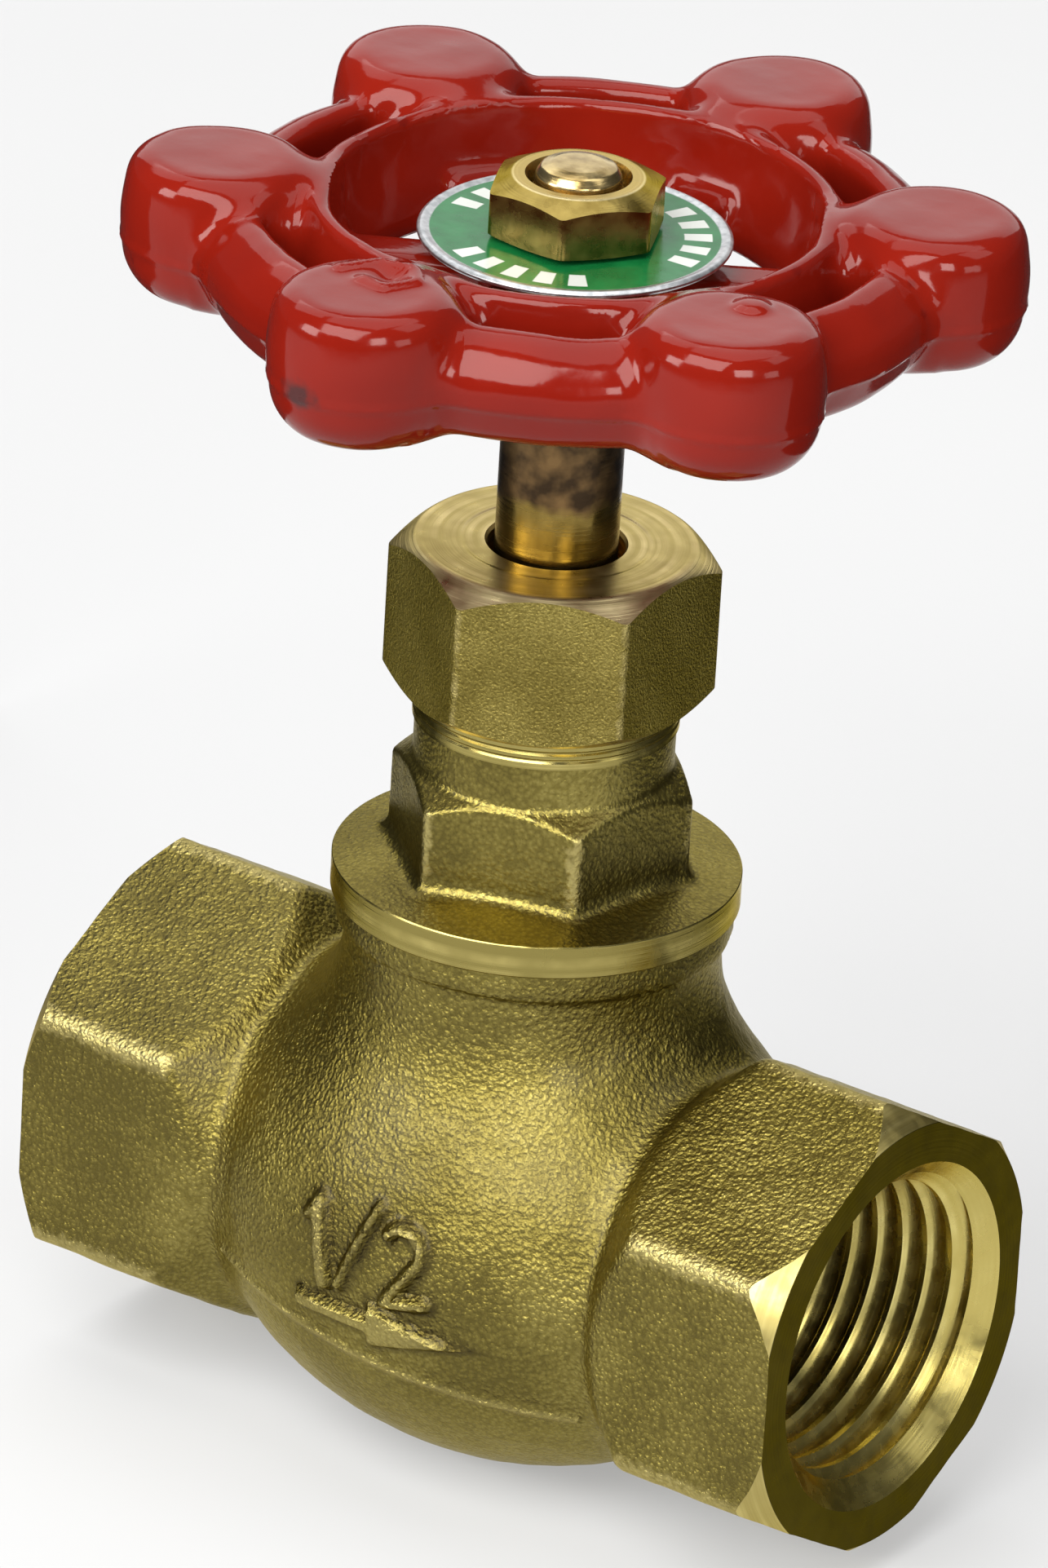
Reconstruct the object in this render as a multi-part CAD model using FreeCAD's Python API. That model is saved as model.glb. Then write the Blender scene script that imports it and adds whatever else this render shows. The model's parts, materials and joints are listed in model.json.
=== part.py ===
import FreeCAD, Part

import math
import os

# Screwed-bonnet globe valve for 1/2 inch pipe, millimetres.
# The pipe axis runs along X, from the inlet (-X) to the outlet (+X), and the stem axis is Z.
# The origin is on the stem axis at the lowest point of the body's belly.
# The valve is drawn fully open, with the stem at the top of its travel.

Vector = FreeCAD.Vector
UP = Vector(0, 0, 1)
ALONG = Vector(1, 0, 0)
FULL_TURN = 360.0
HEX_SIDES = 6

# Body: belly, barrel, hexagon ends and bonnet neck
PIPE_Z = 16.0
BODY_HALF = 27.84
BELLY_R = 16.0
BELLY_HALF = 20.5
BARREL_R = 12.95
HEX_END_CORNER_R = 14.95
HEX_END_START = 14.6
HEX_END_FULL = 17.4
HEX_CHAMFER_R = 13.4
OUTLET_CHAMFER = 1.94
INLET_CHAMFER = 1.39
NECK_R = 11.4
NECK_RIM_R = 11.9
NECK_RIM_Z = PIPE_Z + 18.4
NECK_TOP = PIPE_Z + 20.4

# Ports: 1/2-14 pipe thread, drawn at its minor radius
PORT_R = 9.16
PORT_MOUTH_R = 10.9
PORT_DEPTH = 13.5
PORT_INNER_R = 8.3

# Globe cavity, partition and seat
CAVITY_R = 12.8
CAVITY_HALF = 17.0
BRIDGE_HALF = 7.6
BRIDGE_Z = PIPE_Z + 0.4
BRIDGE_THICK = 2.4
PARTITION_END = Vector(15.5, 0, 10.5)
SEAT_R = 5.5
SEAT_LIP_R = 7.1
SEAT_Z = PIPE_Z + 2.2
BONNET_THREAD_R = 9.5
NECK_BORE_BOTTOM = PIPE_Z + 7.0

# Flow arrow cast on the belly
ARROW_Z = PIPE_Z - 2.55
ARROW_TAIL = -4.5
ARROW_NECK = 1.0
ARROW_TIP = 7.0
ARROW_BAR_HALF = 0.5
ARROW_HEAD_HALF = 1.45
ARROW_PROUD = 0.5

# Stem travel: three turns of a single-start thread, twelve threads to the inch
LEAD = 25.4 / 12
TURNS = 3
LIFT = LEAD * TURNS

# Stem
STEM_R = 3.67
STEM_THREAD_R = 4.6
STEM_TIP_R = 2.6
BUTTON_R = 4.0
BUTTON_THICK = 1.4
BUTTON_BOTTOM = PIPE_Z + 12.0
STEM_THREAD_BOTTOM = PIPE_Z + 15.4
STEM_THREAD_TOP = PIPE_Z + 29.2
SQUARE_SIDE = 5.19
SQUARE_BOTTOM = PIPE_Z + 57.55
SQUARE_TOP = PIPE_Z + 62.37
STEM_TOP_R = 2.95
STEM_TOP_END_R = 2.6
STEM_TOP = PIPE_Z + 67.3
RUNNING_GAP = 0.05
FACE_GAP = 0.1

# Disc assembly at the foot of the stem
SEAT_DISC_R = 6.9
SEAT_DISC_THICK = 2.2
SEAT_DISC_BOTTOM = SEAT_Z + LIFT + 0.03
HOLDER_R = 7.6
HOLDER_TOP = PIPE_Z + 15.0
HOLDER_SKIRT = 0.5
HOLDER_STUD_R = 1.5
STUD_LENGTH = 5.3
WASHER_R = 3.8
WASHER_THICK = 0.6
DISC_NUT_AF = 6.0
DISC_NUT_THICK = 2.4

# Bonnet
BONNET_BOTTOM = PIPE_Z + 15.4
FLANGE_R = 12.25
FLANGE_TOP = PIPE_Z + 22.2
FLANGE_CROWN = PIPE_Z + 22.9
BONNET_HEX_AF = 16.33
BONNET_HEX_TURN = -100.7
BONNET_HEX_TOP = PIPE_Z + 28.6
BONNET_NECK_R = 8.12
BAND_BOTTOM = PIPE_Z + 31.7
BAND_R = 7.95
NECK_END = PIPE_Z + 33.3
NUT_THREAD_R = 7.3
BONNET_TOP = PIPE_Z + 38.3
BONNET_FLOOR_BOTTOM = PIPE_Z + 29.5
BOX_BOTTOM = PIPE_Z + 31.0
BOX_R = 5.6
GASKET_R = 10.9
GASKET_THICK = 0.8

# Packing and gland
PACKING_COUNT = 3
PACKING_THICK = 1.9
GLAND_FLANGE_R = 6.9
GLAND_FLANGE_THICK = 1.3

# Packing nut
NUT_AF = 17.3
NUT_TURN = -88.5
NUT_BOTTOM = PIPE_Z + 33.4
NUT_TOP = PIPE_Z + 43.03
NUT_EDGE_LOW = PIPE_Z + 34.5
NUT_EDGE_HIGH = PIPE_Z + 41.8
NUT_FACE_R = 8.4
NUT_HOLE_R = 4.09
NUT_CEILING = PIPE_Z + 41.0

# Handwheel, with its knobs on a circle round the stem
KNOBS = 6
KNOB_TURN = -28.6
KNOB_PITCH_R = 21.0
KNOB_R = 5.85
KNOB_FOOT_R = 4.6
KNOB_FOOT_EDGE = 0.8
KNOB_SHOULDER_R = 5.3
KNOB_TOP_EDGE = 1.0
KNOB_BOTTOM = PIPE_Z + 57.1
KNOB_WAIST = PIPE_Z + 62.0
KNOB_TOP = PIPE_Z + 65.9
KNOB_PARTING = 1.0
RIM_CREST = PIPE_Z + 64.5
RIM_BOTTOM = PIPE_Z + 57.9
RIM_INNER_R = 18.65
RIM_CREST_R = 20.0
RIM_OUTER_R = 22.3
RIM_EDGE = 0.8
RING_CREST = PIPE_Z + 65.0
RING_BOTTOM = PIPE_Z + 58.2
RING_CREST_R = 15.1
RING_WALL = 2.0
RING_FOOT_R = 15.2
RING_EDGE = 0.6
WEB_TOP = PIPE_Z + 61.0
WEB_BOTTOM = PIPE_Z + 58.6
SPOKE_WIDTH = 3.6
NECK_WIDTH = 8.4
HUB_R = 5.6
HUB_BOTTOM = SQUARE_BOTTOM
HUB_TOP = SQUARE_TOP

# Nameplate and handwheel nut
PLATE_R = 9.27
PLATE_THICK = 0.5
WHEEL_NUT_AF = 9.33
WHEEL_NUT_TURN = -63.3
WHEEL_NUT_TOP = PIPE_Z + 66.8
WHEEL_NUT_EDGE = PIPE_Z + 65.6
WHEEL_NUT_FACE_R = 4.6
WHEEL_NUT_SINK_R = 3.6


def circumradius(across_flats):
    return across_flats / math.sqrt(3)


def disc(radius, bottom, top):
    """A round bar along Z."""
    return Part.makeCylinder(radius, top - bottom, Vector(0, 0, bottom), UP)


def ring(inner, outer, bottom, top):
    """A washer or sleeve along Z."""
    return disc(outer, bottom, top).cut(disc(inner, bottom, top))


def face_of(points):
    return Part.Face(Part.makePolygon(points + points[:1]))


def turned(profile):
    """A solid of revolution about Z from (radius, height) points."""
    return face_of([Vector(r, 0, z) for r, z in profile]).revolve(Vector(), UP, FULL_TURN)


def turned_on_pipe(profile):
    """A solid of revolution about the pipe axis from (x, radius) points."""
    centre = Vector(0, 0, PIPE_Z)
    face = face_of([centre + Vector(x, 0, r) for x, r in profile])
    return face.revolve(centre, ALONG, FULL_TURN)


def hexagon(corner_r, bottom, top, turn):
    """A hexagonal bar along Z with one corner at the angle turn."""
    angles = [math.radians(turn + FULL_TURN / HEX_SIDES * k) for k in range(HEX_SIDES)]
    base = face_of([Vector(corner_r * math.cos(a), corner_r * math.sin(a), bottom) for a in angles])
    return base.extrude(Vector(0, 0, top - bottom))


def ellipsoid(half_length, radius):
    """An ellipsoid of revolution about the pipe axis."""
    centre = Vector(0, 0, PIPE_Z)
    ellipse = Part.Ellipse(centre + Vector(half_length, 0, 0), centre + Vector(0, 0, radius), centre)
    arc = Part.ArcOfEllipse(ellipse, 0, math.pi).toShape()
    closing = Part.makeLine(arc.Vertexes[-1].Point, arc.Vertexes[0].Point)
    return Part.Face(Part.Wire([arc, closing])).revolve(centre, ALONG, FULL_TURN)


def hexagon_end(side, chamfer):
    """One wrench end of the body: side is +1 for the outlet and -1 for the inlet."""
    angles = [math.radians(90 + FULL_TURN / HEX_SIDES * k) for k in range(HEX_SIDES)]
    centre = Vector(side * HEX_END_START, 0, PIPE_Z)
    corners = [centre + HEX_END_CORNER_R * Vector(0, math.cos(a), math.sin(a)) for a in angles]
    bar = face_of(corners).extrude(Vector(side * (BODY_HALF - HEX_END_START), 0, 0))
    cone_start = BODY_HALF - chamfer
    envelope = turned_on_pipe(
        [
            (side * HEX_END_START, 0),
            (side * HEX_END_START, BARREL_R),
            (side * HEX_END_FULL, HEX_END_CORNER_R),
            (side * cone_start, HEX_END_CORNER_R),
            (side * BODY_HALF, HEX_CHAMFER_R),
            (side * BODY_HALF, 0),
        ]
    )
    return bar.common(envelope)


def port(side):
    """The space of one pipe port, from its mouth to the end of the thread."""
    thread_end = BODY_HALF - PORT_DEPTH
    mouth_depth = PORT_MOUTH_R - PORT_R
    return turned_on_pipe(
        [
            (side * thread_end, 0),
            (side * thread_end, PORT_R),
            (side * (BODY_HALF - mouth_depth), PORT_R),
            (side * BODY_HALF, PORT_MOUTH_R),
            (side * BODY_HALF, 0),
        ]
    )


def partition():
    """The S-shaped wall between inlet and outlet, with the seat hole in its flat middle."""
    half = BRIDGE_THICK / 2
    slope = PARTITION_END.z / (PARTITION_END.x - BRIDGE_HALF)
    upright = half * math.hypot(1, slope)
    far = PARTITION_END.x
    rise = PARTITION_END.z
    upper = [(-far, rise + upright), (-BRIDGE_HALF, half), (BRIDGE_HALF, half), (far, upright - rise)]
    lower = [(far, -rise - upright), (BRIDGE_HALF, -half), (-BRIDGE_HALF, -half), (-far, rise - upright)]
    outline = [Vector(x, -CAVITY_R, BRIDGE_Z + z) for x, z in upper + lower]
    wall = face_of(outline).extrude(Vector(0, 2 * CAVITY_R, 0))
    lip = disc(SEAT_LIP_R, BRIDGE_Z, SEAT_Z)
    return wall.fuse(lip).cut(disc(SEAT_R, BRIDGE_Z - BRIDGE_THICK, SEAT_Z))


def cavity():
    """Everything hollow in the body except the ports."""
    globe = ellipsoid(CAVITY_HALF, CAVITY_R)
    reach = BODY_HALF - PORT_DEPTH
    passage = Part.makeCylinder(PORT_INNER_R, 2 * reach, Vector(-reach, 0, PIPE_Z), ALONG)
    neck = disc(BONNET_THREAD_R, NECK_BORE_BOTTOM, NECK_TOP)
    gasket_seat = disc(GASKET_R, NECK_TOP - GASKET_THICK, NECK_TOP)
    return globe.fuse([passage]).cut(partition()).fuse([neck, gasket_seat])


def flow_arrow():
    """A raised arrow that follows the belly and points to the outlet."""
    outline = [
        (ARROW_TAIL, ARROW_BAR_HALF),
        (ARROW_NECK, ARROW_BAR_HALF),
        (ARROW_NECK, ARROW_HEAD_HALF),
        (ARROW_TIP, 0),
        (ARROW_NECK, -ARROW_HEAD_HALF),
        (ARROW_NECK, -ARROW_BAR_HALF),
        (ARROW_TAIL, -ARROW_BAR_HALF),
    ]
    front = -(BELLY_R + ARROW_PROUD)
    prism = face_of([Vector(x, front, ARROW_Z + z) for x, z in outline]).extrude(Vector(0, BELLY_R / 4, 0))
    return prism.common(ellipsoid(BELLY_HALF + ARROW_PROUD, BELLY_R + ARROW_PROUD))


def body():
    belly = ellipsoid(BELLY_HALF, BELLY_R)
    barrel = Part.makeCylinder(BARREL_R, 2 * HEX_END_START, Vector(-HEX_END_START, 0, PIPE_Z), ALONG)
    neck = disc(NECK_R, PIPE_Z, NECK_RIM_Z)
    rim = disc(NECK_RIM_R, NECK_RIM_Z, NECK_TOP)
    ends = [hexagon_end(1, OUTLET_CHAMFER), hexagon_end(-1, INLET_CHAMFER)]
    outside = belly.common(barrel_range()).fuse([barrel, neck, rim, flow_arrow()] + ends)
    return outside.cut(cavity()).cut(port(1)).cut(port(-1)).removeSplitter()


def barrel_range():
    """The stretch of the pipe axis between the hexagon ends."""
    size = 4 * BELLY_R
    corner = Vector(-HEX_END_START, -size / 2, PIPE_Z - size / 2)
    return Part.makeBox(2 * HEX_END_START, size, size, corner)


def bonnet():
    outside = turned(
        [
            (0, BONNET_BOTTOM),
            (BONNET_THREAD_R - RUNNING_GAP, BONNET_BOTTOM),
            (BONNET_THREAD_R - RUNNING_GAP, NECK_TOP),
            (FLANGE_R, NECK_TOP),
            (FLANGE_R, FLANGE_TOP),
            (circumradius(BONNET_HEX_AF), FLANGE_CROWN),
            (BONNET_NECK_R, FLANGE_CROWN),
            (BONNET_NECK_R, BAND_BOTTOM),
            (BAND_R, BAND_BOTTOM),
            (BAND_R, NECK_END),
            (NUT_THREAD_R - RUNNING_GAP, NECK_END),
            (NUT_THREAD_R - RUNNING_GAP, BONNET_TOP),
            (0, BONNET_TOP),
        ]
    )
    corner_r = circumradius(BONNET_HEX_AF)
    cone_height = corner_r - BONNET_NECK_R
    envelope = turned(
        [
            (0, FLANGE_TOP),
            (corner_r, FLANGE_TOP),
            (corner_r, BONNET_HEX_TOP),
            (BONNET_NECK_R, BONNET_HEX_TOP + cone_height),
            (0, BONNET_HEX_TOP + cone_height),
        ]
    )
    bar = hexagon(corner_r, FLANGE_TOP, BONNET_HEX_TOP + cone_height, BONNET_HEX_TURN)
    thread = disc(STEM_THREAD_R + RUNNING_GAP, BONNET_BOTTOM, BONNET_FLOOR_BOTTOM)
    stem_way = disc(STEM_R + RUNNING_GAP, BONNET_FLOOR_BOTTOM, BOX_BOTTOM)
    stuffing_box = disc(BOX_R, BOX_BOTTOM, BONNET_TOP)
    return outside.fuse(bar.common(envelope)).cut(thread.fuse([stem_way, stuffing_box])).removeSplitter()


def bonnet_gasket():
    return ring(BONNET_THREAD_R, GASKET_R, NECK_TOP - GASKET_THICK, NECK_TOP)


def packing_ring(number):
    """One ring of stem packing, counted from the bottom of the stuffing box."""
    bottom = BOX_BOTTOM + PACKING_THICK * (number - 1)
    return ring(STEM_R + RUNNING_GAP, BOX_R, bottom, bottom + PACKING_THICK)


def packing_gland():
    """The follower that the packing nut presses on the packing."""
    foot = BOX_BOTTOM + PACKING_THICK * PACKING_COUNT
    flange_bottom = NUT_CEILING - GLAND_FLANGE_THICK
    sleeve = disc(BOX_R - RUNNING_GAP, foot, flange_bottom)
    flange = disc(GLAND_FLANGE_R, flange_bottom, NUT_CEILING)
    return sleeve.fuse(flange).cut(disc(STEM_R + RUNNING_GAP, foot, NUT_CEILING)).removeSplitter()


def packing_nut():
    corner_r = circumradius(NUT_AF)
    envelope = turned(
        [
            (0, NUT_BOTTOM),
            (NUT_FACE_R, NUT_BOTTOM),
            (corner_r, NUT_EDGE_LOW),
            (corner_r, NUT_EDGE_HIGH),
            (NUT_FACE_R, NUT_TOP),
            (0, NUT_TOP),
        ]
    )
    bar = hexagon(corner_r, NUT_BOTTOM, NUT_TOP, NUT_TURN)
    thread = disc(NUT_THREAD_R, NUT_BOTTOM, NUT_CEILING)
    hole = disc(NUT_HOLE_R, NUT_CEILING, NUT_TOP)
    return bar.common(envelope).cut(thread.fuse(hole))


def square_bar(bottom, top):
    """The stem's square drive for the handwheel, with its corners rounded to the stem's radius."""
    corner = Vector(-SQUARE_SIDE / 2, -SQUARE_SIDE / 2, bottom)
    return Part.makeBox(SQUARE_SIDE, SQUARE_SIDE, top - bottom, corner).common(disc(STEM_R, bottom, top))


def stem():
    shank = turned(
        [
            (0, BUTTON_BOTTOM),
            (BUTTON_R, BUTTON_BOTTOM),
            (BUTTON_R, BUTTON_BOTTOM + BUTTON_THICK),
            (STEM_TIP_R, BUTTON_BOTTOM + BUTTON_THICK),
            (STEM_TIP_R, STEM_THREAD_BOTTOM),
            (STEM_THREAD_R, STEM_THREAD_BOTTOM),
            (STEM_THREAD_R, STEM_THREAD_TOP),
            (STEM_R, STEM_THREAD_TOP),
            (STEM_R, SQUARE_BOTTOM),
            (0, SQUARE_BOTTOM),
        ]
    )
    nut_thread = turned(
        [
            (0, SQUARE_TOP),
            (STEM_TOP_R, SQUARE_TOP),
            (STEM_TOP_R, STEM_TOP - (STEM_TOP_R - STEM_TOP_END_R)),
            (STEM_TOP_END_R, STEM_TOP),
            (0, STEM_TOP),
        ]
    )
    return shank.fuse([square_bar(SQUARE_BOTTOM, SQUARE_TOP), nut_thread]).removeSplitter()


def holder_slot(radius, bottom, top):
    """A slot open on one side, so that the holder slips sideways onto the stem."""
    mouth = Part.makeBox(HOLDER_R, 2 * radius, top - bottom, Vector(0, -radius, bottom))
    return disc(radius, bottom, top).fuse(mouth)


def disc_holder():
    seat_disc_top = SEAT_DISC_BOTTOM + SEAT_DISC_THICK
    cup = disc(HOLDER_R, SEAT_DISC_BOTTOM + HOLDER_SKIRT, HOLDER_TOP)
    recess = disc(SEAT_DISC_R, SEAT_DISC_BOTTOM, seat_disc_top)
    stud = disc(HOLDER_STUD_R, seat_disc_top - STUD_LENGTH, seat_disc_top)
    button_top = BUTTON_BOTTOM + BUTTON_THICK + FACE_GAP
    button_slot = holder_slot(BUTTON_R + FACE_GAP, BUTTON_BOTTOM - FACE_GAP, button_top)
    tip_slot = holder_slot(STEM_TIP_R + FACE_GAP, button_top, HOLDER_TOP)
    return cup.cut(recess).fuse(stud).cut(button_slot.fuse(tip_slot)).removeSplitter()


def seat_disc():
    return ring(HOLDER_STUD_R, SEAT_DISC_R, SEAT_DISC_BOTTOM, SEAT_DISC_BOTTOM + SEAT_DISC_THICK)


def disc_washer():
    return ring(HOLDER_STUD_R, WASHER_R, SEAT_DISC_BOTTOM - WASHER_THICK, SEAT_DISC_BOTTOM)


def disc_nut():
    top = SEAT_DISC_BOTTOM - WASHER_THICK
    bar = hexagon(circumradius(DISC_NUT_AF), top - DISC_NUT_THICK, top, 0)
    return bar.cut(disc(HOLDER_STUD_R, top - DISC_NUT_THICK, top))


def at_knob(shape, number):
    """A shape drawn along +X, turned to the given knob."""
    return shape.rotated(Vector(), UP, KNOB_TURN + FULL_TURN / KNOBS * number)


def knob():
    """One hand grip, widest at the casting's parting plane."""
    waist_bottom = KNOB_WAIST - KNOB_PARTING
    shape = turned(
        [
            (0, KNOB_BOTTOM),
            (KNOB_FOOT_R, KNOB_BOTTOM),
            (KNOB_FOOT_R + KNOB_FOOT_EDGE, KNOB_BOTTOM + KNOB_FOOT_EDGE),
            (KNOB_R, waist_bottom),
            (KNOB_R, KNOB_WAIST),
            (KNOB_SHOULDER_R, KNOB_TOP - KNOB_TOP_EDGE),
            (KNOB_SHOULDER_R - KNOB_TOP_EDGE, KNOB_TOP),
            (0, KNOB_TOP),
        ]
    )
    shape.translate(Vector(KNOB_PITCH_R, 0, 0))
    return shape


def bowl_ring():
    """The inner ring, whose inside wall makes the bowl round the nameplate."""
    return turned(
        [
            (RING_FOOT_R - RING_WALL, WEB_BOTTOM),
            (RING_FOOT_R - RING_WALL + RING_EDGE, WEB_TOP),
            (RING_CREST_R - RING_EDGE, RING_CREST - RING_EDGE),
            (RING_CREST_R, RING_CREST),
            (RING_CREST_R + RING_EDGE, RING_CREST - RING_EDGE),
            (RING_FOOT_R + RING_EDGE * 2, WEB_TOP),
            (RING_FOOT_R + RING_EDGE, RING_BOTTOM),
            (RING_FOOT_R - RING_EDGE, RING_BOTTOM),
        ]
    )


def wheel_rim():
    """The outer rim that joins the knobs."""
    return turned(
        [
            (RIM_INNER_R, RIM_BOTTOM + RIM_EDGE),
            (RIM_INNER_R, RIM_CREST - RIM_EDGE),
            (RIM_CREST_R - RIM_EDGE / 2, RIM_CREST),
            (RIM_CREST_R + RIM_EDGE / 2, RIM_CREST),
            (RIM_OUTER_R, KNOB_WAIST),
            (RIM_OUTER_R, KNOB_WAIST - KNOB_PARTING),
            (RIM_CREST_R + RIM_EDGE, RIM_BOTTOM),
            (RIM_CREST_R - RIM_EDGE, RIM_BOTTOM),
        ]
    )


def radial_bar(start, end, width, bottom, top):
    """A straight bar along +X, centred on the X axis."""
    return Part.makeBox(end - start, width, top - bottom, Vector(start, -width / 2, bottom))


def handwheel():
    spoke = radial_bar(0, RING_FOOT_R, SPOKE_WIDTH, WEB_BOTTOM, WEB_TOP)
    neck = radial_bar(RING_CREST_R, KNOB_PITCH_R, NECK_WIDTH, RING_BOTTOM, RING_CREST - RING_EDGE)
    pieces = [wheel_rim(), disc(HUB_R, HUB_BOTTOM, HUB_TOP)]
    for number in range(KNOBS):
        pieces += [at_knob(shape, number) for shape in (spoke, neck, knob())]
    return bowl_ring().fuse(pieces).cut(square_bar(HUB_BOTTOM, HUB_TOP)).removeSplitter()


def nameplate():
    return ring(STEM_TOP_R, PLATE_R, HUB_TOP, HUB_TOP + PLATE_THICK)


def wheel_nut():
    bottom = HUB_TOP + PLATE_THICK
    corner_r = circumradius(WHEEL_NUT_AF)
    sink_depth = WHEEL_NUT_SINK_R - STEM_TOP_R
    envelope = turned(
        [
            (STEM_TOP_R, bottom),
            (corner_r, bottom),
            (corner_r, WHEEL_NUT_EDGE),
            (WHEEL_NUT_FACE_R, WHEEL_NUT_TOP),
            (WHEEL_NUT_SINK_R, WHEEL_NUT_TOP),
            (STEM_TOP_R, WHEEL_NUT_TOP - sink_depth),
        ]
    )
    return hexagon(corner_r, bottom, WHEEL_NUT_TOP, WHEEL_NUT_TURN).common(envelope)


def main():
    parts = {
        "body": body(),
        "bonnet": bonnet(),
        "bonnet_gasket": bonnet_gasket(),
        "packing_gland": packing_gland(),
        "packing_nut": packing_nut(),
        "stem": stem(),
        "disc_holder": disc_holder(),
        "seat_disc": seat_disc(),
        "disc_washer": disc_washer(),
        "disc_nut": disc_nut(),
        "handwheel": handwheel(),
        "nameplate": nameplate(),
        "wheel_nut": wheel_nut(),
    }
    for number in range(1, PACKING_COUNT + 1):
        parts[f"packing_ring_{number}"] = packing_ring(number)
    os.makedirs("parts", exist_ok=True)
    for name, shape in parts.items():
        solids = len(shape.Solids)
        print(name, "solids", solids, "valid", shape.isValid(), "volume", round(shape.Volume, 1))
        shape.exportStep(f"parts/{name}.step")


main()
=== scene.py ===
import json
import math

import bpy
import numpy as np
import openvdb
from mathutils import Matrix, Vector


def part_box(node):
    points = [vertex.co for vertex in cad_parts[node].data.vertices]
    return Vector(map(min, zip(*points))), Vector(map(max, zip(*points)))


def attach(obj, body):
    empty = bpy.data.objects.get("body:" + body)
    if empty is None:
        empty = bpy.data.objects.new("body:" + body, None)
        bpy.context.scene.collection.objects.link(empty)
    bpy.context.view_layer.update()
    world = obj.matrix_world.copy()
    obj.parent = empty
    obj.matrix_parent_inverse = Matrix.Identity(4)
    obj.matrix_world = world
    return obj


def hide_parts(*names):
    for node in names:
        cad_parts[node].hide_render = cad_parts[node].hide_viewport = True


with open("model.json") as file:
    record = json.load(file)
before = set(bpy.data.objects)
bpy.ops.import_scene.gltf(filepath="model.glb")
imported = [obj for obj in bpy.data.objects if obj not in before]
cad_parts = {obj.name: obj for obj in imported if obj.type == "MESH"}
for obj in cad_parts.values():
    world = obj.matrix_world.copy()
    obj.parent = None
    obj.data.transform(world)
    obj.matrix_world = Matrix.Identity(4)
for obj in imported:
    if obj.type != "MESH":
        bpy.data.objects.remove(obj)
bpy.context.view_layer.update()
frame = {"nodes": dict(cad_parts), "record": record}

# Lengths below are millimetres in the part's own frame, heights counted from the pipe axis.
MM = 0.001
RECORD = frame["record"]
OUTLET = next(m for m in RECORD["mounts"] if m["name"] == "outlet_port")
PIPE_Z = OUTLET["pos_m"][2] / MM


def node_range(node, axis):
    """Lowest and highest coordinate of a CAD node along X, Y or Z, in millimetres from the pipe axis."""
    low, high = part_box(node)
    shift = PIPE_Z if axis == 2 else 0.0
    return low[axis] / MM - shift, high[axis] / MM - shift


# ---------------------------------------------------------------- sizes

BODY_HALF = node_range("body", 0)[1]
NECK_TOP = node_range("body", 2)[1]
BELLY_R = -node_range("body", 2)[0]
BELLY_HALF = 20.5
BARREL_R = 12.25
BARREL_END = 15.5
HEX_APOTHEM = 12.95
HEX_CORNER_R = HEX_APOTHEM / math.cos(math.radians(30))
HEX_TAPER_START = 14.2
HEX_TAPER_END = 17.4
END_FACE_R = 13.4
OUTLET_CHAMFER = 1.94
INLET_CHAMFER = 1.39
NECK_R = 11.3
NECK_RIM_R = 11.9
NECK_RIM_Z = 18.4

PORT_R = OUTLET["dims"]["r_mm"]
PORT_MOUTH_R = 10.9
PORT_DEPTH = 13.5
THREAD_PITCH = 25.4 / 14
THREAD_DEPTH = 0.95
PORT_INNER_R = 8.3

CAVITY_R = 12.8
CAVITY_HALF = 17.0
SEAT_R = 5.5
SEAT_LIP_R = 7.1
SEAT_Z = 2.2
SPOT_FACE_R = 7.9
BRIDGE_Z = 0.4
BRIDGE_HALF_THICK = 1.2
BRIDGE_HALF = 7.6
BRIDGE_SLOPE = 1.33
NECK_BORE_R = 9.5
NECK_BORE_BOTTOM = 7.0
ARROW_Z = -2.55

FLANGE_R = node_range("bonnet", 0)[1]
FLANGE_BOTTOM = NECK_TOP + 0.06
FLANGE_LIP = 20.2
FLANGE_TOP = 22.2
FLANGE_CROWN = 22.9
BONNET_BOTTOM = node_range("bonnet", 2)[0]
BONNET_TOP = node_range("bonnet", 2)[1]
BONNET_THREAD_R = 9.45
BONNET_APOTHEM = 8.165
BONNET_TURN = -100.7
BONNET_HEX_TOP = 28.6
BONNET_NECK_R = 7.8
BAND_Z = 31.7
BAND_R = 7.95
NECK_END = 33.3
NUT_THREAD_R = 7.25
BOX_R = 5.6
BOX_BOTTOM = 31.0
BONNET_FLOOR = 29.5
STEM_THREAD_R = 4.65

NUT_BOTTOM, NUT_TOP = node_range("packing_nut", 2)
NUT_APOTHEM = 8.65
NUT_TURN = -88.5
NUT_EDGE_LOW = 34.5
NUT_EDGE_HIGH = 41.8
NUT_FACE_R = 8.4
NUT_HOLE_R = 4.09
NUT_CEILING = 41.0

STEM_R = 3.67
STEM_TOP_R = 2.95
STEM_TOP_END_R = 2.55
STEM_TOP = node_range("stem", 2)[1] - 0.1
STEM_BOTTOM = node_range("stem", 2)[0]
STEM_TIP_R = 2.6
STEM_THREAD_BOTTOM = 15.4
STEM_THREAD_TOP = 29.2
STEM_SCREW_R = 4.6
BUTTON_R = 4.0
BUTTON_THICK = 1.4
STAIN_LOW = PIPE_Z + 47.3
STAIN_HIGH = PIPE_Z + 60.0

PLATE_BOTTOM, PLATE_TOP = node_range("nameplate", 2)
PLATE_R = node_range("nameplate", 0)[1]
WHEEL_NUT_TOP = node_range("wheel_nut", 2)[1] - 0.4
WHEEL_NUT_APOTHEM = 4.78
WHEEL_NUT_TURN = -63.3
WHEEL_NUT_EDGE = 65.75
WHEEL_NUT_FACE_R = 3.85
WHEEL_NUT_SINK_R = 3.15

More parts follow.
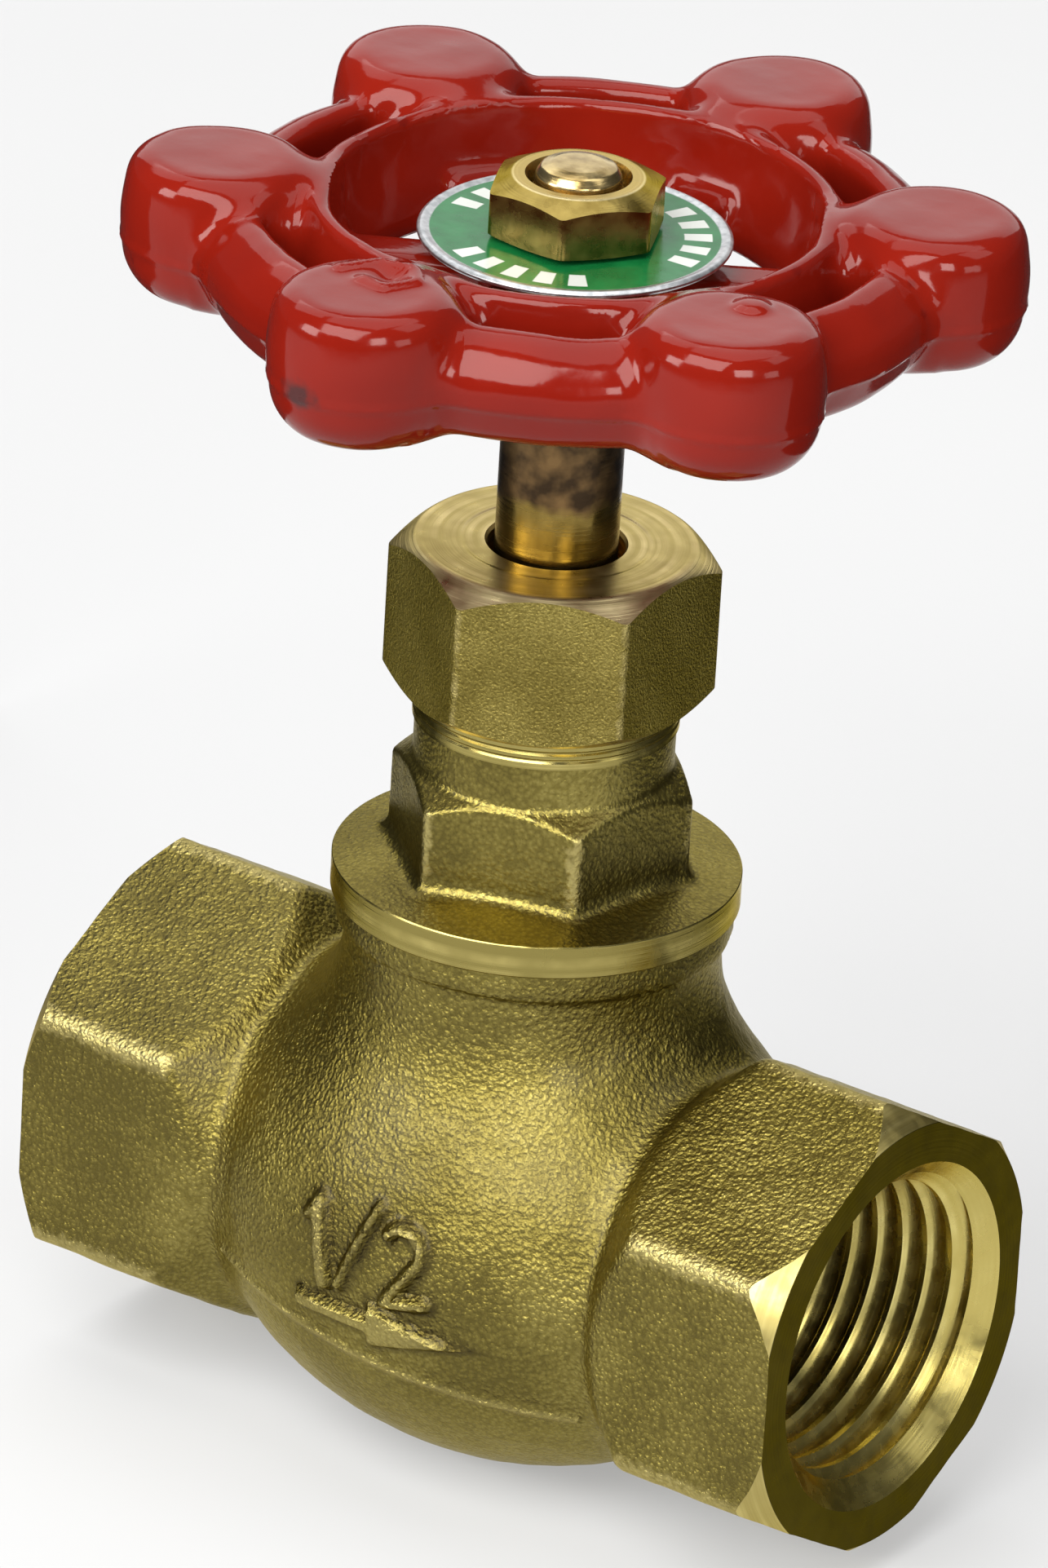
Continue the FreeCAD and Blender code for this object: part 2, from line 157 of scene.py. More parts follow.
KNOB_TURN = math.radians(-28.6)
KNOB_PITCH_R = 21.0
WHEEL_BOTTOM, WHEEL_TOP = node_range("handwheel", 2)
HUB_R = 5.6
HUB_BOTTOM = 57.55
SQUARE_HALF = 2.595
SMUDGE = (0.2, -26.6, PIPE_Z + 60.9)
WHEEL_SEAM_Z = 60.6
PRINT_R = 8.55
MARK_R = 7.2
MARK_HALF = 0.85
MARKS = 24

CAST, MACHINED, THREADED = range(3)
WEAR_AND_SHADE = "wear_and_shade"
# Stored value: rubbed wear where positive, painted shade along the feet of the raised marks where negative.
FACING = 0.5
WORLD_LIGHT = 0.12
FLAG_DISTANCE = 85.0
FLAG_HEIGHT = 85.0
FLOOR_HALF = 2000.0


# ---------------------------------------------------------------- distance fields

def smooth_max(a, b, k):
    """The larger of two fields, with the edge between them rounded over a width k."""
    h = np.clip(0.5 - 0.5 * (b - a) / k, 0.0, 1.0)
    return b + (a - b) * h + k * h * (1.0 - h)


def smooth_min(a, b, k):
    return -smooth_max(-a, -b, k)


def slab(v, low, high):
    return np.maximum(low - v, v - high)


def slope(r, z, start, end):
    """Signed distance to the outside of the line through two (r, z) points, outside being on its right going up."""
    dr = end[0] - start[0]
    dz = end[1] - start[1]
    return ((r - start[0]) * dz - (z - start[1]) * dr) / math.hypot(dr, dz)


def hexagon(u, v, apothem, k):
    """Distance to a hexagonal bar with a corner along v, its edges rounded over k."""
    half = math.sqrt(3) / 2
    flats = smooth_max(np.abs(0.5 * u + half * v), np.abs(0.5 * u - half * v), k)
    return smooth_max(np.abs(u), flats, k) - apothem


def ellipsoid(x, rho, half_length, radius):
    k0 = np.sqrt((x / half_length) ** 2 + (rho / radius) ** 2)
    k1 = np.sqrt((x / half_length**2) ** 2 + (rho / radius**2) ** 2)
    return k0 * (k0 - 1.0) / np.maximum(k1, 1e-6)


def noise(x, y, z, size, seed):
    """Smooth random values from -1 to 1 with features of the given size."""
    cells = np.random.default_rng(seed).uniform(-1.0, 1.0, (32, 32, 32)).astype(np.float32)
    grid = [np.asarray(c) / size for c in (x, y, z)]
    base = [np.floor(c).astype(int) for c in grid]
    part = [c - b for c, b in zip(grid, base)]
    ease = [p * p * (3.0 - 2.0 * p) for p in part]
    total = 0.0
    for i in (0, 1):
        for j in (0, 1):
            for k in (0, 1):
                weight = (ease[0] if i else 1 - ease[0]) * (ease[1] if j else 1 - ease[1])
                weight = weight * (ease[2] if k else 1 - ease[2])
                total = total + weight * cells[(base[0] + i) % 32, (base[1] + j) % 32, (base[2] + k) % 32]
    return total


# ---------------------------------------------------------------- meshes

def new_object(name, points, faces, materials=(), index=0):
    """A mesh object from points in millimetres above the pipe axis, its faces all of one material."""
    mesh = bpy.data.meshes.new(name)
    points = (np.asarray(points, float) + (0.0, 0.0, PIPE_Z)) * MM
    mesh.from_pydata(points.tolist(), [], np.asarray(faces).tolist() if isinstance(faces, np.ndarray) else faces)
    mesh.validate()
    for material in materials:
        mesh.materials.append(material)
    mesh.polygons.foreach_set("use_smooth", [True] * len(mesh.polygons))
    mesh.polygons.foreach_set("material_index", [index] * len(mesh.polygons))
    mesh.update()
    ob = bpy.data.objects.new(name, mesh)
    bpy.context.scene.collection.objects.link(ob)
    return ob


def surface_of(field, low, high, step):
    """Points and quads of the zero surface of a distance field inside a box."""
    axes = [np.arange(a - 2 * step, b + 3 * step, step, dtype=np.float32) for a, b in zip(low, high)]
    x, y, z = np.meshgrid(*axes, indexing="ij", sparse=True)
    values = np.broadcast_to(field(x, y, z), [len(a) for a in axes]).astype(np.float32)
    grid = openvdb.FloatGrid(4 * step)
    grid.copyFromArray(np.ascontiguousarray(values))
    points, quads = grid.convertToQuads(0.0)
    points = points * step + np.array([a[0] for a in axes])
    for _ in range(3):
        value, normal = gradient(field, points)
        points = points - normal * np.clip(value, -step, step)[:, None]
    return points, quads


def gradient(field, points):
    """Distance, scaled by the field's own steepness, and unit direction at each point."""
    x, y, z = points.T
    e = 0.02
    value = field(x, y, z)
    g = np.stack(
        [
            field(x + e, y, z) - field(x - e, y, z),
            field(x, y + e, z) - field(x, y - e, z),
            field(x, y, z + e) - field(x, y, z - e),
        ],
        axis=1,
    ) / (2 * e)
    size = np.maximum(np.linalg.norm(g, axis=1), 1e-3)
    return value / size, g / size[:, None]


def rounded(corners, radius, closed, spacing=0.25):
    """Dense points along a polyline in (r, z) whose corners are rounded to the given radius."""
    corners = [np.array(c, float) for c in corners]
    count = len(corners)
    line = []
    for i, corner in enumerate(corners):
        if not closed and i in (0, count - 1):
            line.append(corner)
            continue
        before = corners[i - 1] - corner
        after = corners[(i + 1) % count] - corner
        reach = min(radius, 0.4 * np.linalg.norm(before), 0.4 * np.linalg.norm(after))
        start = corner + before / np.linalg.norm(before) * reach
        end = corner + after / np.linalg.norm(after) * reach
        for t in np.linspace(0, 1, 5):
            line.append((1 - t) ** 2 * start + 2 * t * (1 - t) * corner + t * t * end)
    dense = []
    pairs = zip(line, line[1:] + line[:1]) if closed else zip(line, line[1:])
    for a, b in pairs:
        steps = max(1, int(np.ceil(np.linalg.norm(b - a) / spacing)))
        dense += [a + (b - a) * t / steps for t in range(steps)]
    if not closed:
        dense.append(line[-1])
    return np.array(dense)


def spun(name, profile, sides=256, closed=True, shape=None, materials=(), index=0, axis="Z"):
    """A turned solid from (radius, height) points. An open profile starts and ends on the axis.
    shape(angle, r, z) may change the radius, as for hexagons."""
    profile = np.asarray(profile, float)
    rings = profile if closed else profile[1:-1]
    rows = len(rings)
    angles = np.arange(sides) * 2 * math.pi / sides
    r = np.broadcast_to(rings[:, 0][:, None], (rows, sides))
    z = np.broadcast_to(rings[:, 1][:, None], (rows, sides))
    a = np.broadcast_to(angles[None, :], r.shape)
    if shape:
        r = shape(a, r, z)
    across, height = r * np.cos(a), r * np.sin(a)
    points = np.stack([across, height, z] if axis == "Z" else [z, across, height], axis=-1).reshape(-1, 3)
    grid = np.arange(rows * sides).reshape(rows, sides)
    following = np.roll(grid, -1, axis=1)
    pairs = [(i, (i + 1) % rows) for i in range(rows if closed else rows - 1)]
    faces = np.concatenate([np.stack([grid[i], following[i], following[j], grid[j]], axis=1) for i, j in pairs])
    faces = faces.tolist()
    if not closed:
        tips = [[0.0, 0.0, h] if axis == "Z" else [h, 0.0, 0.0] for h in (profile[0, 1], profile[-1, 1])]
        first = len(points)
        points = np.concatenate([points, tips])
        faces += [[first, int(n), int(i)] for i, n in zip(grid[0], following[0])]
        faces += [[first + 1, int(i), int(n)] for i, n in zip(grid[-1], following[-1])]
    return new_object(name, points, faces, materials, index)


def combine(target, tool, operation):
    """Applies one boolean with the tool, and removes the tool."""
    modifier = target.modifiers.new(operation, "BOOLEAN")
    modifier.operation = operation
    modifier.solver = "MANIFOLD"
    modifier.material_mode = "INDEX"
    modifier.object = tool
    evaluated = target.evaluated_get(bpy.context.evaluated_depsgraph_get())
    mesh = bpy.data.meshes.new_from_object(evaluated)
    target.modifiers.clear()
    old = target.data
    target.data = mesh
    bpy.data.meshes.remove(old)
    bpy.data.objects.remove(tool)
    return target


# ---------------------------------------------------------------- materials

class Paint:
    """A small builder for one procedural material. Texture coordinates are millimetres in the part's frame."""

    def __init__(self, name):
        self.material = bpy.data.materials.new(name)
        self.material.use_nodes = True
        self.tree = self.material.node_tree
        self.tree.nodes.clear()
        output = self.tree.nodes.new("ShaderNodeOutputMaterial")
        self.shader = self.tree.nodes.new("ShaderNodeBsdfPrincipled")
        self.tree.links.new(self.shader.outputs[0], output.inputs[0])
        coordinates = self.tree.nodes.new("ShaderNodeTexCoord")
        self.place = self.vector("MULTIPLY", coordinates.outputs["Object"], (1 / MM, 1 / MM, 1 / MM))

    def put(self, socket, value):
        if isinstance(value, bpy.types.NodeSocket):
            self.tree.links.new(value, socket)
        else:
            socket.default_value = value

    def vector(self, operation, a, b):
        node = self.tree.nodes.new("ShaderNodeVectorMath")
        node.operation = operation
        self.put(node.inputs[0], a)
        self.put(node.inputs[1], b)
        return node.outputs[0]

    def distance(self, point, weights):
        """Distance from a point in millimetres, each axis weighted."""
        offset = self.vector("MULTIPLY", self.vector("SUBTRACT", self.place, point), weights)
        node = self.tree.nodes.new("ShaderNodeVectorMath")
        node.operation = "LENGTH"
        self.put(node.inputs[0], offset)
        return node.outputs["Value"]

    def math(self, operation, a, b=0.0, c=0.0):
        node = self.tree.nodes.new("ShaderNodeMath")
        node.operation = operation
        for socket, value in zip(node.inputs, (a, b, c)):
            self.put(socket, value)
        return node.outputs[0]

    def split(self, vector):
        node = self.tree.nodes.new("ShaderNodeSeparateXYZ")
        self.put(node.inputs[0], vector)
        return node.outputs

    def join(self, x, y, z):
        node = self.tree.nodes.new("ShaderNodeCombineXYZ")
        for socket, value in zip(node.inputs, (x, y, z)):
            self.put(socket, value)
        return node.outputs[0]

    def noise(self, size, detail=2.0, stretch=(1, 1, 1), at=None):
        """Noise from 0 to 1 with features of the given size in millimetres."""
        node = self.tree.nodes.new("ShaderNodeTexNoise")
        node.inputs["Scale"].default_value = 1.0 / size
        node.inputs["Detail"].default_value = detail
        place = self.place if at is None else at
        self.put(node.inputs["Vector"], self.vector("MULTIPLY", place, stretch))
        return node.outputs[0]

    def grains(self, size):
        """Rounded grains of the given size in millimetres, from 0 at their edges to about 1 in their middles."""
        node = self.tree.nodes.new("ShaderNodeTexVoronoi")
        node.feature = "SMOOTH_F1"
        node.inputs["Scale"].default_value = 1.0 / size
        node.inputs["Smoothness"].default_value = 0.35
        self.put(node.inputs["Vector"], self.place)
        return self.range(node.outputs["Distance"], 0.0, 0.75, 1.0, 0.0)

    def radius(self, u, v):
        return self.math("SQRT", self.math("ADD", self.math("POWER", u, 2.0), self.math("POWER", v, 2.0)))

    def ramp(self, value, *stops):
        """A colour for a value, from (position, colour) stops."""
        node = self.tree.nodes.new("ShaderNodeValToRGB")
        self.put(node.inputs[0], value)
        elements = node.color_ramp.elements
        while len(elements) < len(stops):
            elements.new(0.5)
        for element, (position, colour) in zip(elements, stops):
            element.position = position
            element.color = (*colour, 1.0)
        return node.outputs[0]

    def mix(self, factor, a, b):
        node = self.tree.nodes.new("ShaderNodeMix")
        node.data_type = "RGBA"
        self.put(node.inputs[0], factor)
        for socket, value in zip((node.inputs[6], node.inputs[7]), (a, b)):
            self.put(socket, value if isinstance(value, bpy.types.NodeSocket) else (*value, 1.0))
        return node.outputs[2]

    def range(self, value, low, high, to_low=0.0, to_high=1.0):
        node = self.tree.nodes.new("ShaderNodeMapRange")
        for socket, v in zip(node.inputs, (value, low, high, to_low, to_high)):
            self.put(socket, v)
        return node.outputs[0]

    def stored(self, name):
        """A value kept at every point of the mesh."""
        node = self.tree.nodes.new("ShaderNodeAttribute")
        node.attribute_name = name
        return node.outputs["Fac"]

    def edges(self, low=0.51, high=0.58):
        """From 0 on flat surfaces to 1 on worn outside edges."""
        geometry = self.tree.nodes.new("ShaderNodeNewGeometry")
        return self.range(geometry.outputs["Pointiness"], low, high)

    def bump(self, height, depth, strength=1.0, after=None):
        """Surface relief of the given depth in millimetres."""
        node = self.tree.nodes.new("ShaderNodeBump")
        node.inputs["Strength"].default_value = strength
        node.inputs["Distance"].default_value = depth * MM
        self.put(node.inputs["Height"], height)
        if after is not None:
            self.put(node.inputs["Normal"], after)
        return node.outputs[0]

    def finish(self, **inputs):
        for name, value in inputs.items():
            socket = self.shader.inputs[name.replace("_", " ")]
            if isinstance(value, tuple) and len(value) == 3:
                value = (*value, 1.0)
            self.put(socket, value)
        return self.material


def rubbed_corners(p):
    """From 0 to 1 along the corners of the body's hexagons and of the bonnet's."""
    x, y, z = p.split(p.place)
    around_pipe = p.radius(y, p.math("SUBTRACT", z, PIPE_Z))
    ragged = p.math("MULTIPLY", p.math("SUBTRACT", p.noise(0.5, 3.0), 0.5), 0.7)
    body = p.range(p.math("ADD", around_pipe, ragged), HEX_CORNER_R - 0.5, HEX_CORNER_R - 0.2)
    body = p.math("MULTIPLY", body, p.range(p.math("ABSOLUTE", x), HEX_TAPER_START + 0.5, HEX_TAPER_START + 1.5))
    corner = BONNET_APOTHEM / math.cos(math.radians(30))
    bonnet_side = p.range(p.math("ADD", p.radius(x, y), ragged), corner - 0.3, corner - 0.1)
    bonnet_side = p.math("MULTIPLY", bonnet_side, p.range(z, PIPE_Z + FLANGE_CROWN + 0.4, PIPE_Z + FLANGE_CROWN + 0.8))
    return p.math("MAXIMUM", body, bonnet_side)


def cast_brass():
    p = Paint("cast_brass")
    grain = p.grains(0.31)
    sand = p.noise(0.15, 3.0)
    lumps = p.noise(1.3, 2.0)
    stain = p.noise(8.0, 1.0)
    fine = p.math("ADD", p.math("MULTIPLY", grain, 0.45), p.math("MULTIPLY", sand, 0.55))
    tone = p.math("ADD", p.math("MULTIPLY", fine, 0.5), p.math("MULTIPLY", stain, 0.5))
    base = p.ramp(tone, (0.36, (0.120, 0.094, 0.018)), (0.50, (0.188, 0.150, 0.031)), (0.64, (0.27, 0.222, 0.056)))
    colour = p.mix(p.math("MULTIPLY", rubbed_corners(p), 0.5), base, (0.60, 0.50, 0.19))
    # Rubbed bright on the raised marks and seam.
    colour = p.mix(p.range(p.stored(WEAR_AND_SHADE), 0.0, 1.0, 0.0, 0.45), colour, (0.60, 0.50, 0.19))
    # Painted shade: darker in the creases along the feet of the raised marks.
    colour = p.mix(p.range(p.stored(WEAR_AND_SHADE), 0.0, -1.0, 0.0, 0.75), colour, (0.05, 0.036, 0.008))
    on_body = p.range(p.split(p.place)[2], PIPE_Z + NECK_TOP - 1.0, PIPE_Z + NECK_TOP, 1.0, 0.45)
    relief = p.bump(p.math("MULTIPLY", lumps, on_body), 0.12, 0.7)
    relief = p.bump(p.math("MULTIPLY", fine, on_body), 0.17, 0.9, relief)
    return p.finish(Base_Color=colour, Metallic=1.0, Roughness=p.range(sand, 0.3, 0.7, 0.39, 0.27), Normal=relief,
                    Specular_Tint=(0.95, 0.85, 0.5), Coat_Weight=0.22, Coat_Roughness=0.35)


def turned_brass(name, axis, light, dark, shaded_face_colour=None, rough=(0.16, 0.30), rings_deep=0.02, lengthways=1.0):
    """Bright turned brass with fine tool rings round the X or Z axis. The pipe end faces may get a much darker colour,
    which is painted shade.

    With lengthways at 0 the rings depend on the radius alone, so that flats get straight streaks."""
    p = Paint(name)
    x, y, z = p.split(p.place)
    if axis == "Z":
        radius, along = p.radius(x, y), z
    else:
        radius, along = p.radius(p.math("SUBTRACT", z, PIPE_Z), y), x
    along = p.math("MULTIPLY", along, lengthways)
    rings = p.noise(0.16, 2.0, at=p.join(radius, along, 0.0))
    cloud = p.range(p.noise(4.0, 3.0), 0.35, 0.7)
    grooves = p.range(p.noise(0.5, 4.0, at=p.join(radius, along, 0.0)), 0.42, 0.6)
    colour = p.mix(p.math("MULTIPLY", cloud, grooves), dark, light)
    if shaded_face_colour:
        # Painted shade: the pipe end faces are given a much darker colour than the rest of the machined brass.
        face = p.range(p.math("ABSOLUTE", x), BODY_HALF - 0.04, BODY_HALF - 0.02)
        colour = p.mix(face, colour, p.mix(cloud, shaded_face_colour, [1.3 * c for c in shaded_face_colour]))
    relief = p.bump(rings, rings_deep, 0.55)
    shine = p.range(p.noise(1.2, 3.0), 0.3, 0.7, *rough)
    return p.finish(Base_Color=colour, Metallic=1.0, Roughness=shine, Normal=relief, Specular_Tint=(0.9, 0.78, 0.4))


def forged_brass():
    """The packing nut's flats: finer and smoother than the castings, their corners rubbed bright."""
    p = Paint("forged_brass")
    x, y, z = p.split(p.place)
    grain = p.noise(0.16, 4.0)
    stain = p.noise(5.0, 3.0)
    tone = p.math("ADD", p.math("MULTIPLY", grain, 0.6), p.math("MULTIPLY", stain, 0.4))
    base = p.ramp(tone, (0.34, (0.12, 0.092, 0.020)), (0.50, (0.195, 0.154, 0.038)), (0.66, (0.29, 0.235, 0.066)))
    corner = NUT_APOTHEM / math.cos(math.radians(30))
    ragged = p.math("MULTIPLY", p.math("SUBTRACT", p.noise(0.7, 3.0), 0.5), 0.3)
    worn = p.range(p.math("ADD", p.radius(x, y), ragged), corner - 0.16, corner - 0.05, 0.0, 0.35)
    relief = p.bump(p.noise(1.4, 2.0), 0.05, 0.5)
    relief = p.bump(grain, 0.12, 1.0, relief)
    colour = p.mix(worn, base, (0.66, 0.55, 0.24))
    return p.finish(Base_Color=colour, Metallic=1.0, Roughness=p.range(grain, 0.3, 0.7, 0.44, 0.30), Normal=relief,
                    Specular_Tint=(0.9, 0.78, 0.4))


def stem_brass():
    """Turned brass, stained brown just under the handwheel and coppery at the top."""
    p = Paint("stem_brass")
    x, y, z = p.split(p.place)
    rings = p.noise(0.12, 2.0, stretch=(0.05, 0.05, 1.0))
    edge = p.math("ADD", z, p.math("MULTIPLY", p.noise(2.2, 3.0), 2.4))
    stained = p.range(edge, STAIN_LOW, STAIN_LOW + 0.7)
    stained = p.math("MULTIPLY", stained, p.range(edge, STAIN_HIGH, STAIN_HIGH + 0.7, 1.0, 0.0))
    clean = p.ramp(p.noise(2.5, 3.0, stretch=(1, 1, 0.6)), (0.35, (0.17, 0.115, 0.026)), (0.65, (0.34, 0.24, 0.07)))
    brown = p.ramp(p.noise(1.8, 3.0), (0.38, (0.05, 0.032, 0.018)), (0.66, (0.20, 0.12, 0.05)))
    tip = p.range(z, PIPE_Z + PLATE_TOP, PIPE_Z + PLATE_TOP + 0.5)
    copper = p.ramp(p.noise(1.2, 3.0), (0.35, (0.32, 0.225, 0.085)), (0.65, (0.56, 0.43, 0.20)))
    colour = p.mix(tip, p.mix(stained, clean, brown), copper)
    rough = p.math("ADD", p.range(rings, 0.3, 0.7, 0.18, 0.30), p.math("MULTIPLY", stained, 0.14))
    dents = p.bump(p.noise(0.7, 2.0), 0.03, 0.5)
    return p.finish(Base_Color=colour, Metallic=1.0, Roughness=rough, Normal=p.bump(rings, 0.015, 0.6, dents))


def red_enamel():
    p = Paint("red_enamel")
    cloud = p.noise(9.0, 2.0)
    thin = p.edges(0.53, 0.62)
    base = p.mix(p.range(cloud, 0.3, 0.7), (0.140, 0.0052, 0.0021), (0.175, 0.0075, 0.0029))
    base = p.mix(p.math("MULTIPLY", thin, 0.45), base, (0.09, 0.003, 0.002))
    away = p.distance(SMUDGE, (1.0, 1.0, 1.6))
    ragged = p.math("ADD", away, p.math("MULTIPLY", p.noise(1.1, 3.0), 2.4))
    smudge = p.range(ragged, 1.8, 2.8, 0.9, 0.0)
    colour = p.mix(smudge, base, (0.035, 0.012, 0.012))
    skin = p.bump(p.noise(2.6, 1.0), 0.09, 0.4)
    skin = p.bump(p.noise(0.9, 2.0), 0.02, 0.5, skin)
    rough = p.math("ADD", p.range(p.noise(1.5, 3.0), 0.35, 0.75, 0.08, 0.15), p.math("MULTIPLY", smudge, 0.2))
    return p.finish(Base_Color=colour, Metallic=0.0, Roughness=rough, Normal=skin, IOR=1.33,
                    Specular_Tint=(1.0, 0.86, 0.82))


def printed_plate():
    """A tin plate with a silver rim, a green printed band and small generic white marks."""
    p = Paint("printed_plate")
    x, y, z = p.split(p.place)
    radius = p.math("SQRT", p.math("ADD", p.math("POWER", x, 2.0), p.math("POWER", y, 2.0)))
    angle = p.math("ARCTAN2", y, x)
    turn = p.math("FRACT", p.math("MULTIPLY", angle, MARKS / (2 * math.pi)))
    band = p.range(p.math("ABSOLUTE", p.math("SUBTRACT", radius, MARK_R)), MARK_HALF - 0.06, MARK_HALF, 1.0, 0.0)
    dash = p.range(p.math("ABSOLUTE", p.math("SUBTRACT", turn, 0.5)), 0.26, 0.29, 1.0, 0.0)
    group = p.math("FRACT", p.math("ADD", p.math("MULTIPLY", angle, 3 / (2 * math.pi)), 0.2))
    shown = p.range(p.math("ABSOLUTE", p.math("SUBTRACT", group, 0.5)), 0.30, 0.31, 1.0, 0.0)
    mark = p.math("MULTIPLY", p.math("MULTIPLY", band, dash), shown)
    green = p.mix(p.range(p.noise(1.5, 3.0), 0.35, 0.65), (0.004, 0.095, 0.022), (0.007, 0.13, 0.032))
    ink = p.mix(mark, green, (0.50, 0.52, 0.48))
    rim = p.range(radius, PRINT_R - 0.05, PRINT_R + 0.05)
    tin = p.mix(p.range(p.noise(0.5, 4.0), 0.3, 0.7), (0.34, 0.36, 0.37), (0.62, 0.63, 0.64))
    colour = p.mix(rim, ink, tin)
    rough = p.math("ADD", p.range(p.noise(1.0, 3.0), 0.3, 0.7, 0.16, 0.24), p.math("MULTIPLY", rim, 0.16))
    relief = p.bump(p.noise(0.5, 2.0), 0.02, 0.5)
    return p.finish(Base_Color=colour, Metallic=rim, Roughness=rough, Normal=relief, IOR=1.36)


def fibre(name, light, dark, size):
    """Packing, gasket or rubber: matt, speckled and slightly rough."""
    p = Paint(name)
    speck = p.noise(size, 4.0)
    colour = p.mix(p.range(speck, 0.35, 0.65), dark, light)
    relief = p.bump(speck, 0.05, 0.8)
    return p.finish(Base_Color=colour, Roughness=p.range(speck, 0.3, 0.7, 0.65, 0.85), Normal=relief)


def studio_floor():
    p = Paint("studio_floor")
    cloud = p.noise(60.0, 2.0)
    colour = p.mix(cloud, (0.32, 0.32, 0.32), (0.34, 0.34, 0.34))
    return p.finish(Base_Color=colour, Roughness=0.9, Specular_IOR_Level=0.0, Emission_Color=(1.0, 1.0, 1.0),
                    Emission_Strength=0.37)


# ---------------------------------------------------------------- body

def relief(x, y, z, seed):
    """The unevenness of a sand casting, in millimetres."""
    return 0.06 * noise(x, y, z, 3.0, seed) + 0.03 * noise(x, y, z, 0.9, seed + 1)


def body_casting(x, y, z):
    """The body's outside as it comes from the mould, with a little extra at the ends for facing."""
    rho = np.sqrt(y * y + z * z)
    radius = np.sqrt(x * x + y * y)
    along = np.abs(x)
    belly = ellipsoid(x, rho, BELLY_HALF, BELLY_R)
    barrel = np.maximum(rho - BARREL_R, along - BARREL_END)
    tube = smooth_min(belly, barrel, 0.7)
    neck = np.maximum(radius - NECK_R, slab(z, 0.0, NECK_TOP + FACING))
    shape = smooth_min(tube, neck, 3.8)
    steep = (HEX_CORNER_R - BARREL_R) / (HEX_TAPER_END - HEX_TAPER_START)
    cone = (rho - BARREL_R - (along - HEX_TAPER_START) * steep) / math.hypot(1.0, steep)
    bar = smooth_max(hexagon(y, z, HEX_APOTHEM, 0.5), cone, 0.45)
    bar = np.maximum(bar, slab(along, BARREL_END - 4.0, BODY_HALF + FACING))
    shape = smooth_min(shape, bar, 0.35)
    rim = smooth_max(radius - NECK_RIM_R, slab(z, NECK_RIM_Z, NECK_TOP + FACING), 0.4)
    shape = smooth_min(shape, rim, 0.5)
    seam = 0.26 * np.clip(1.0 - np.abs(z + 5.3 + 0.12 * x) / 0.5, 0.0, 1.0) * (along < 13.0)
    front = (y < 0.0) & (np.abs(z) < 8.0) & (along < 10.0)
    marks = 0.65 * np.clip(0.5 - raised_marks(x, z) / 0.4, 0.0, 1.0)
    return shape + relief(x, y, z, 11) - seam - np.where(front, marks, 0.0)


def stroke(u, v, start, end, half):
    """Distance to a straight stroke of the given half width."""
    du, dv = end[0] - start[0], end[1] - start[1]
    t = np.clip(((u - start[0]) * du + (v - start[1]) * dv) / (du * du + dv * dv), 0.0, 1.0)
    return np.hypot(u - start[0] - t * du, v - start[1] - t * dv) - half


def raised_marks(x, z):
    """Distance to the flow arrow and to the nominal pipe size cast on the belly, negative inside them."""
    bar = np.maximum(np.abs(z - ARROW_Z) - 0.5, slab(x, -4.5, 1.2))
    head = np.maximum(1.0 - x, (x - 7.0) * 0.235 + np.abs(z - ARROW_Z))
    one = np.minimum(stroke(x, z, (-3.3, 4.0), (-2.3, -0.7), 0.5), stroke(x, z, (-3.3, 4.0), (-4.1, 3.0), 0.32))
    bar_between = stroke(x, z, (1.0, 4.9), (-1.2, -0.5), 0.32)
    bowl = np.maximum(np.abs(np.hypot(x - 3.0, z - 2.9) - 1.3) - 0.35, -(z - 2.6) - 0.7 * (x - 3.0))
    two = np.minimum(bowl, stroke(x, z, (4.1, 2.2), (2.2, -0.6), 0.36))
    two = np.minimum(two, stroke(x, z, (2.2, -0.6), (4.9, -0.1), 0.36))
    return np.minimum(np.minimum(one, bar_between), np.minimum(two, np.minimum(bar, head)))


def mark_wear_and_shade(ob):
    """Stores 1 on the rubbed faces of the raised marks and seam, and -1 as painted shade in the creases along their
    feet.
    """
    points = np.empty(len(ob.data.vertices) * 3)
    ob.data.vertices.foreach_get("co", points)
    x, y, z = points.reshape(-1, 3).T / MM
    z = z - PIPE_Z
    away = raised_marks(x, z)
    # Painted shade: a dark band in the crease along the feet of the raised marks.
    foot_shade = np.exp(-((away - 0.2) / 0.3) ** 2)
    front = (y < 0.0) & (np.abs(z) < 8.0) & (np.abs(x) < 10.0)
    seam = np.clip(1.0 - np.abs(z + 5.3 + 0.12 * x) / 0.35, 0.0, 1.0) * (np.abs(x) < 13.0) * (z < 0.0)
    wear_and_shade = np.where(front, np.clip(-away / 0.25, 0.0, 0.6) - foot_shade, 0.0) + 0.8 * seam
    layer = ob.data.attributes.new(WEAR_AND_SHADE, "FLOAT", "POINT")
    layer.data.foreach_set("value", wear_and_shade.astype(np.float32))


def cavity_space(x, y, z):
    """The water's way through the body, above and below the partition."""
    rho = np.sqrt(y * y + z * z)
    radius = np.sqrt(x * x + y * y)
    along = np.abs(x)
    reach = BODY_HALF - PORT_DEPTH
    globe = ellipsoid(x, rho, CAVITY_HALF, CAVITY_R)
    passage = np.maximum(rho - PORT_INNER_R, along - reach - 0.3)
    space = smooth_min(globe, passage, 1.0)
    middle = BRIDGE_Z - np.sign(x) * np.maximum(along - BRIDGE_HALF, 0.0) * BRIDGE_SLOPE
    thickness = np.where(along > BRIDGE_HALF, BRIDGE_HALF_THICK * math.hypot(1.0, BRIDGE_SLOPE), BRIDGE_HALF_THICK)
    wall = (np.abs(z - middle) - thickness) / np.where(along > BRIDGE_HALF, math.hypot(1.0, BRIDGE_SLOPE), 1.0)
    lip = smooth_max(radius - SEAT_LIP_R, slab(z, BRIDGE_Z, SEAT_Z), 0.3)
    wall = smooth_min(wall, lip, 0.6)
    wall = np.maximum(wall, SEAT_R - radius)
    space = smooth_max(space, -wall, 0.8)
    return space - relief(x, y, z, 23)


